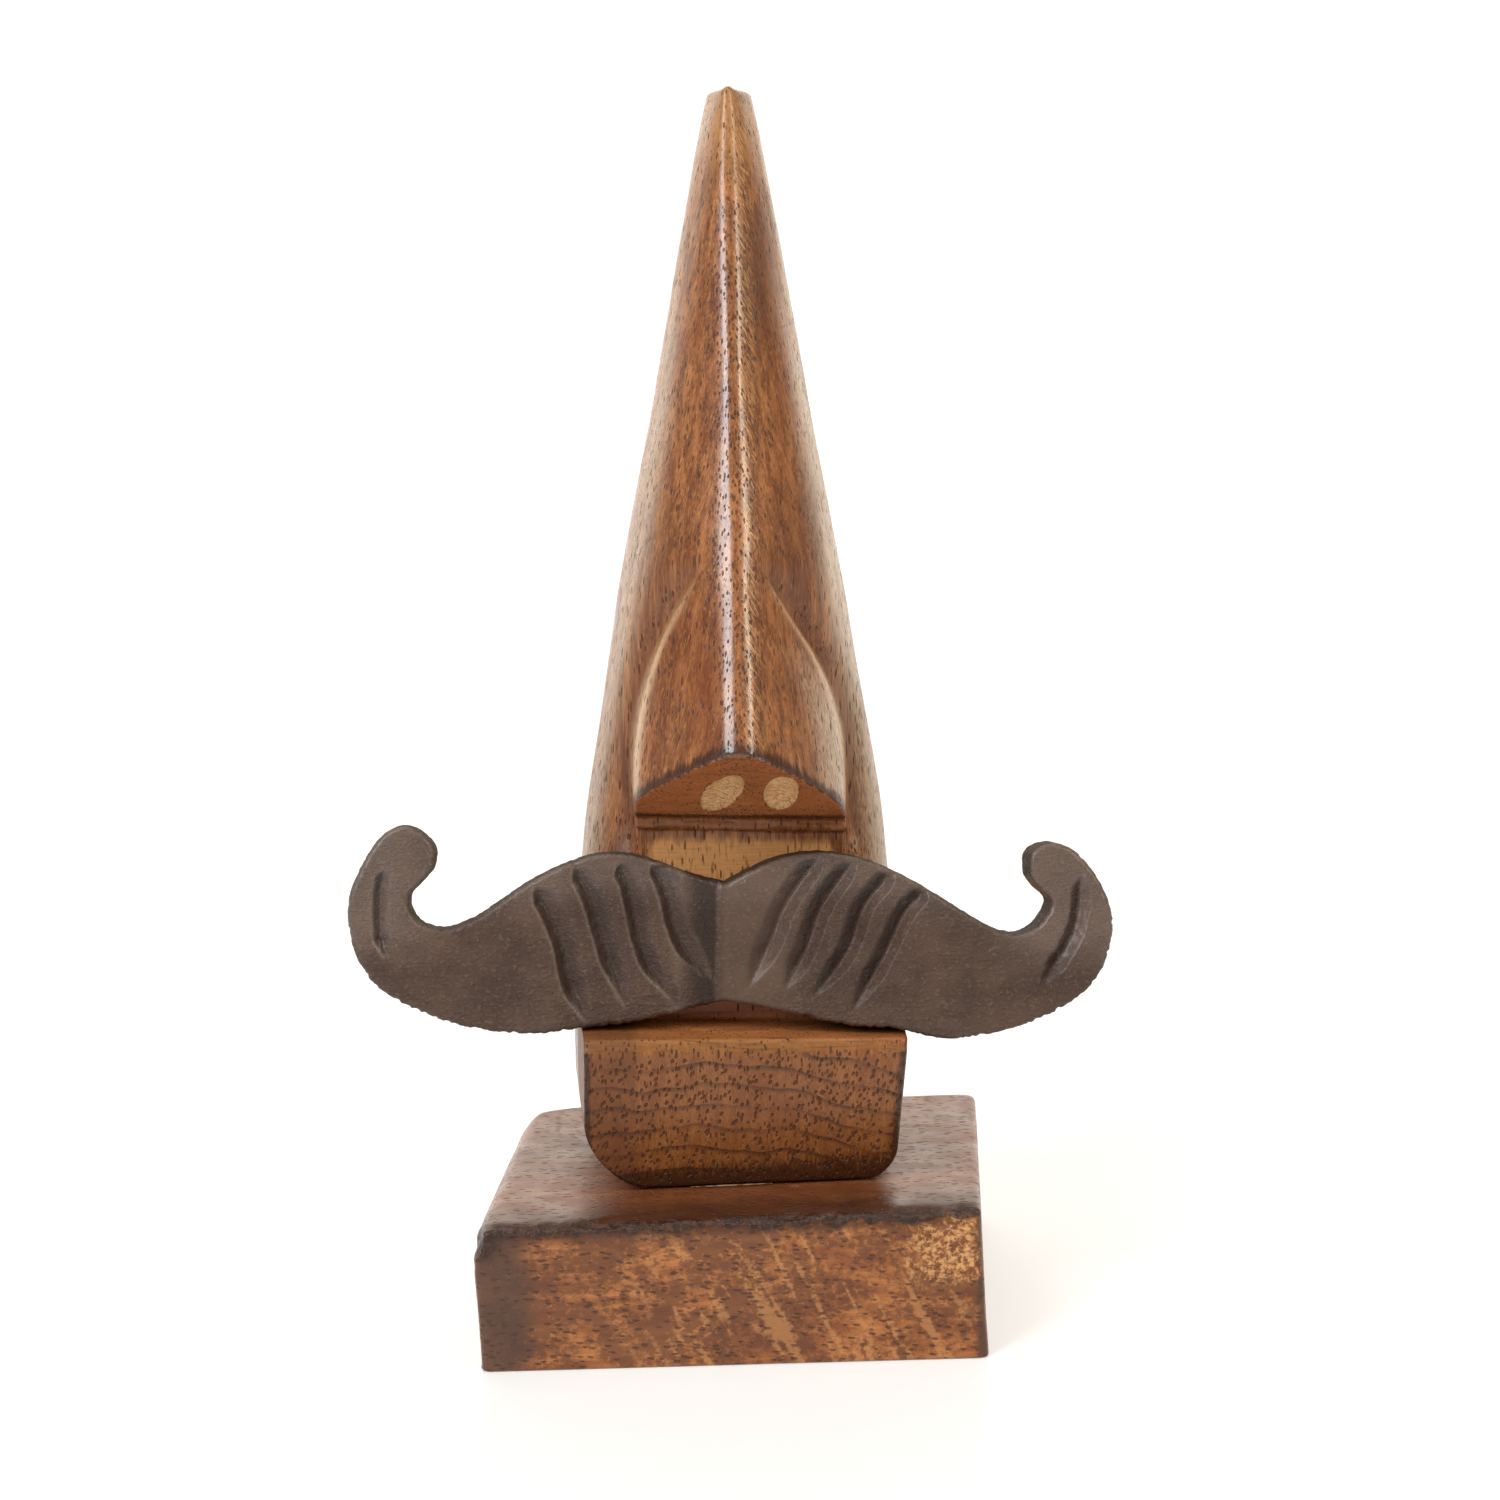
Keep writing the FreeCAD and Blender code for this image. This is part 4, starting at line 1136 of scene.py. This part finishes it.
def white_floor():
    """Glossy white table."""
    p = Paint("floor_white")
    rough = p.ramp(p.noise((60, 60, 60)), 0.2, 0.8, 0.05, 0.08)
    return p.finish(
        Base_Color=(0.6, 0.6, 0.6, 1.0),
        Roughness=rough,
        IOR=1.26,
        Emission_Color=(1.0, 1.0, 1.0, 1.0),
        Emission_Strength=0.38,
    )


# ---- pieces
def glue_bead(rows, sides):
    """Lumpy bead along the front of the chin's foot: a tube of rings."""
    points, faces = [], []
    for i in range(rows):
        t = i / (rows - 1)
        x = GLUE_BEAD[0] + (GLUE_BEAD[1] - GLUE_BEAD[0]) * t
        lump = 0.5 + 0.5 * math.sin(9.0 * t) * math.sin(31.0 * t + 1.0)
        size = 0.03 + 0.12 * math.sin(math.pi * t) * (0.55 + 0.45 * lump)
        y = CHIN_FOOT_Y - 0.05 + x * CHIN_TURN
        for k in range(sides):
            a = 2 * math.pi * k / sides
            points.append((x, y + size * (math.cos(a) - 0.9), GLUE_BEAD[2] + size * math.sin(a)))
    for i in range(rows - 1):
        for k in range(sides):
            a, b = i * sides + k, i * sides + (k + 1) % sides
            faces.append((a, b, b + sides, a + sides))
    return points, faces


def make_glue(material):
    """Film of glue under the chin with the bead squeezed out along its front."""
    low, high = (np.array(corner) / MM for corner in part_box("base_glue_film"))
    points, faces = glue_bead(90, 8)
    film = len(points)
    grid = 10
    row = grid + 1
    left, right, back = low[0] + 1.2, min(high[0], 17.5), high[1] - 1.4
    for z in (low[2], high[2]):
        for i in range(row):
            x = left + (right - left) * i / grid
            front = -11.6 + x * CHIN_TURN
            points += [(x, front + (back - front) * j / grid, z) for j in range(row)]
    layer = row**2
    for i in range(grid):
        for j in range(grid):
            a = film + i * row + j
            b = a + row
            faces.append((a, a + 1, b + 1, b))
            faces.append((a + layer, b + layer, b + layer + 1, a + layer + 1))
    rim = [i * row for i in range(row)]
    rim += [grid * row + j for j in range(1, row)]
    rim += [i * row + grid for i in range(grid - 1, -1, -1)]
    rim += list(range(grid - 1, 0, -1))
    for a, b in zip(rim, rim[1:] + rim[:1]):
        faces.append((film + a, film + b, film + b + layer, film + a + layer))
    points, faces = np.array(points), np.array(faces)
    make_piece("base_glue", points, faces, material, ["base_glue_film"], {})


def make_floor(material):
    """Table under the stand."""
    mesh = bpy.data.meshes.new("floor")
    far = FLOOR_REACH
    corners = [(-far, -far, 0), (far, -far, 0), (far, far, 0), (-far, far, 0)]
    mesh.from_pydata(corners, [], [(0, 1, 2, 3)])
    mesh.materials.append(material)
    floor = bpy.data.objects.new("floor", mesh)
    bpy.context.scene.collection.objects.link(floor)


def make_camera():
    """Camera at the height of the nose, a little to the left, looking down."""
    data = bpy.data.cameras.new("camera")
    data.lens = CAMERA_LENS
    data.sensor_width = CAMERA_SENSOR
    data.clip_start = CAMERA_NEAR
    camera = bpy.data.objects.new("camera", data)
    camera.location = [c * MM for c in CAMERA_PLACE]
    camera.rotation_euler = (math.radians(90 - CAMERA_PITCH), 0, math.radians(-CAMERA_YAW))
    bpy.context.scene.collection.objects.link(camera)
    bpy.context.scene.camera = camera


def make_light(name, place, size, power, tint):
    """Soft box aimed at the middle of the stand."""
    data = bpy.data.lights.new(name, "AREA")
    data.shape = "RECTANGLE"
    data.size, data.size_y = size
    data.energy = power
    data.color = tint
    light = bpy.data.objects.new(name, data)
    light.location = place
    aim = Vector(LIGHT_AIM) - Vector(place)
    light.rotation_euler = aim.to_track_quat("-Z", "Y").to_euler()
    bpy.context.scene.collection.objects.link(light)


def make_studio():
    """White room, brighter behind the stand, with a soft box on each side and one above."""
    scene = bpy.context.scene
    scene.world = bpy.data.worlds.new("studio")
    scene.world.use_nodes = True
    tree = scene.world.node_tree
    tree.nodes.clear()
    coords, split, spread, tint, blend, room, white, rays, pick, out = (
        tree.nodes.new("ShaderNode" + kind)
        for kind in (
            "TexCoord", "SeparateXYZ", "MapRange", "MapRange", "Mix",
            "Background", "Background", "LightPath", "MixShader", "OutputWorld",
        )
    )
    spread.interpolation_type = "SMOOTHSTEP"
    for socket, number in zip(spread.inputs[1:5], (0.3, 0.92, 0.3, 1.8)):
        socket.default_value = number
    tint.inputs[1].default_value = -1.0
    blend.data_type = "RGBA"
    blend.inputs[6].default_value = ROOM_LEFT
    blend.inputs[7].default_value = ROOM_RIGHT
    white.inputs["Color"].default_value = (1.0, 1.0, 1.0, 1.0)
    white.inputs["Strength"].default_value = BACKDROP
    for source, target in (
        (coords.outputs["Generated"], split.inputs[0]),
        (split.outputs[1], spread.inputs[0]),
        (spread.outputs[0], room.inputs["Strength"]),
        (split.outputs[0], tint.inputs[0]),
        (tint.outputs[0], blend.inputs[0]),
        (blend.outputs[2], room.inputs["Color"]),
        (rays.outputs["Is Camera Ray"], pick.inputs[0]),
        (room.outputs[0], pick.inputs[1]),
        (white.outputs[0], pick.inputs[2]),
        (pick.outputs[0], out.inputs[0]),
    ):
        tree.links.new(source, target)
    for light in LIGHTS:
        make_light(*light)
    scene.view_settings.view_transform = "Standard"
    scene.view_settings.look = "None"


def dress(finish, *names):
    """Give CAD nodes that keep their shape a material."""
    for name in names:
        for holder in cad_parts[name].material_slots:
            holder.material = finish


make_camera()
make_studio()
make_floor(white_floor())
make_nose(nose_wood())
make_moustache(dark_wood())
make_base(base_wood())
glue = two_tone("glue_dried", *DRY_GLUE)
make_glue(glue)
dress(glue, "moustache_glue_film")
dress(two_tone("dowel_wood_pale", *PALE_WOOD), "moustache_dowel_left", "moustache_dowel_right")
dress(two_tone("screw_steel_zinc", *ZINC), "base_screw_front", "base_screw_rear")
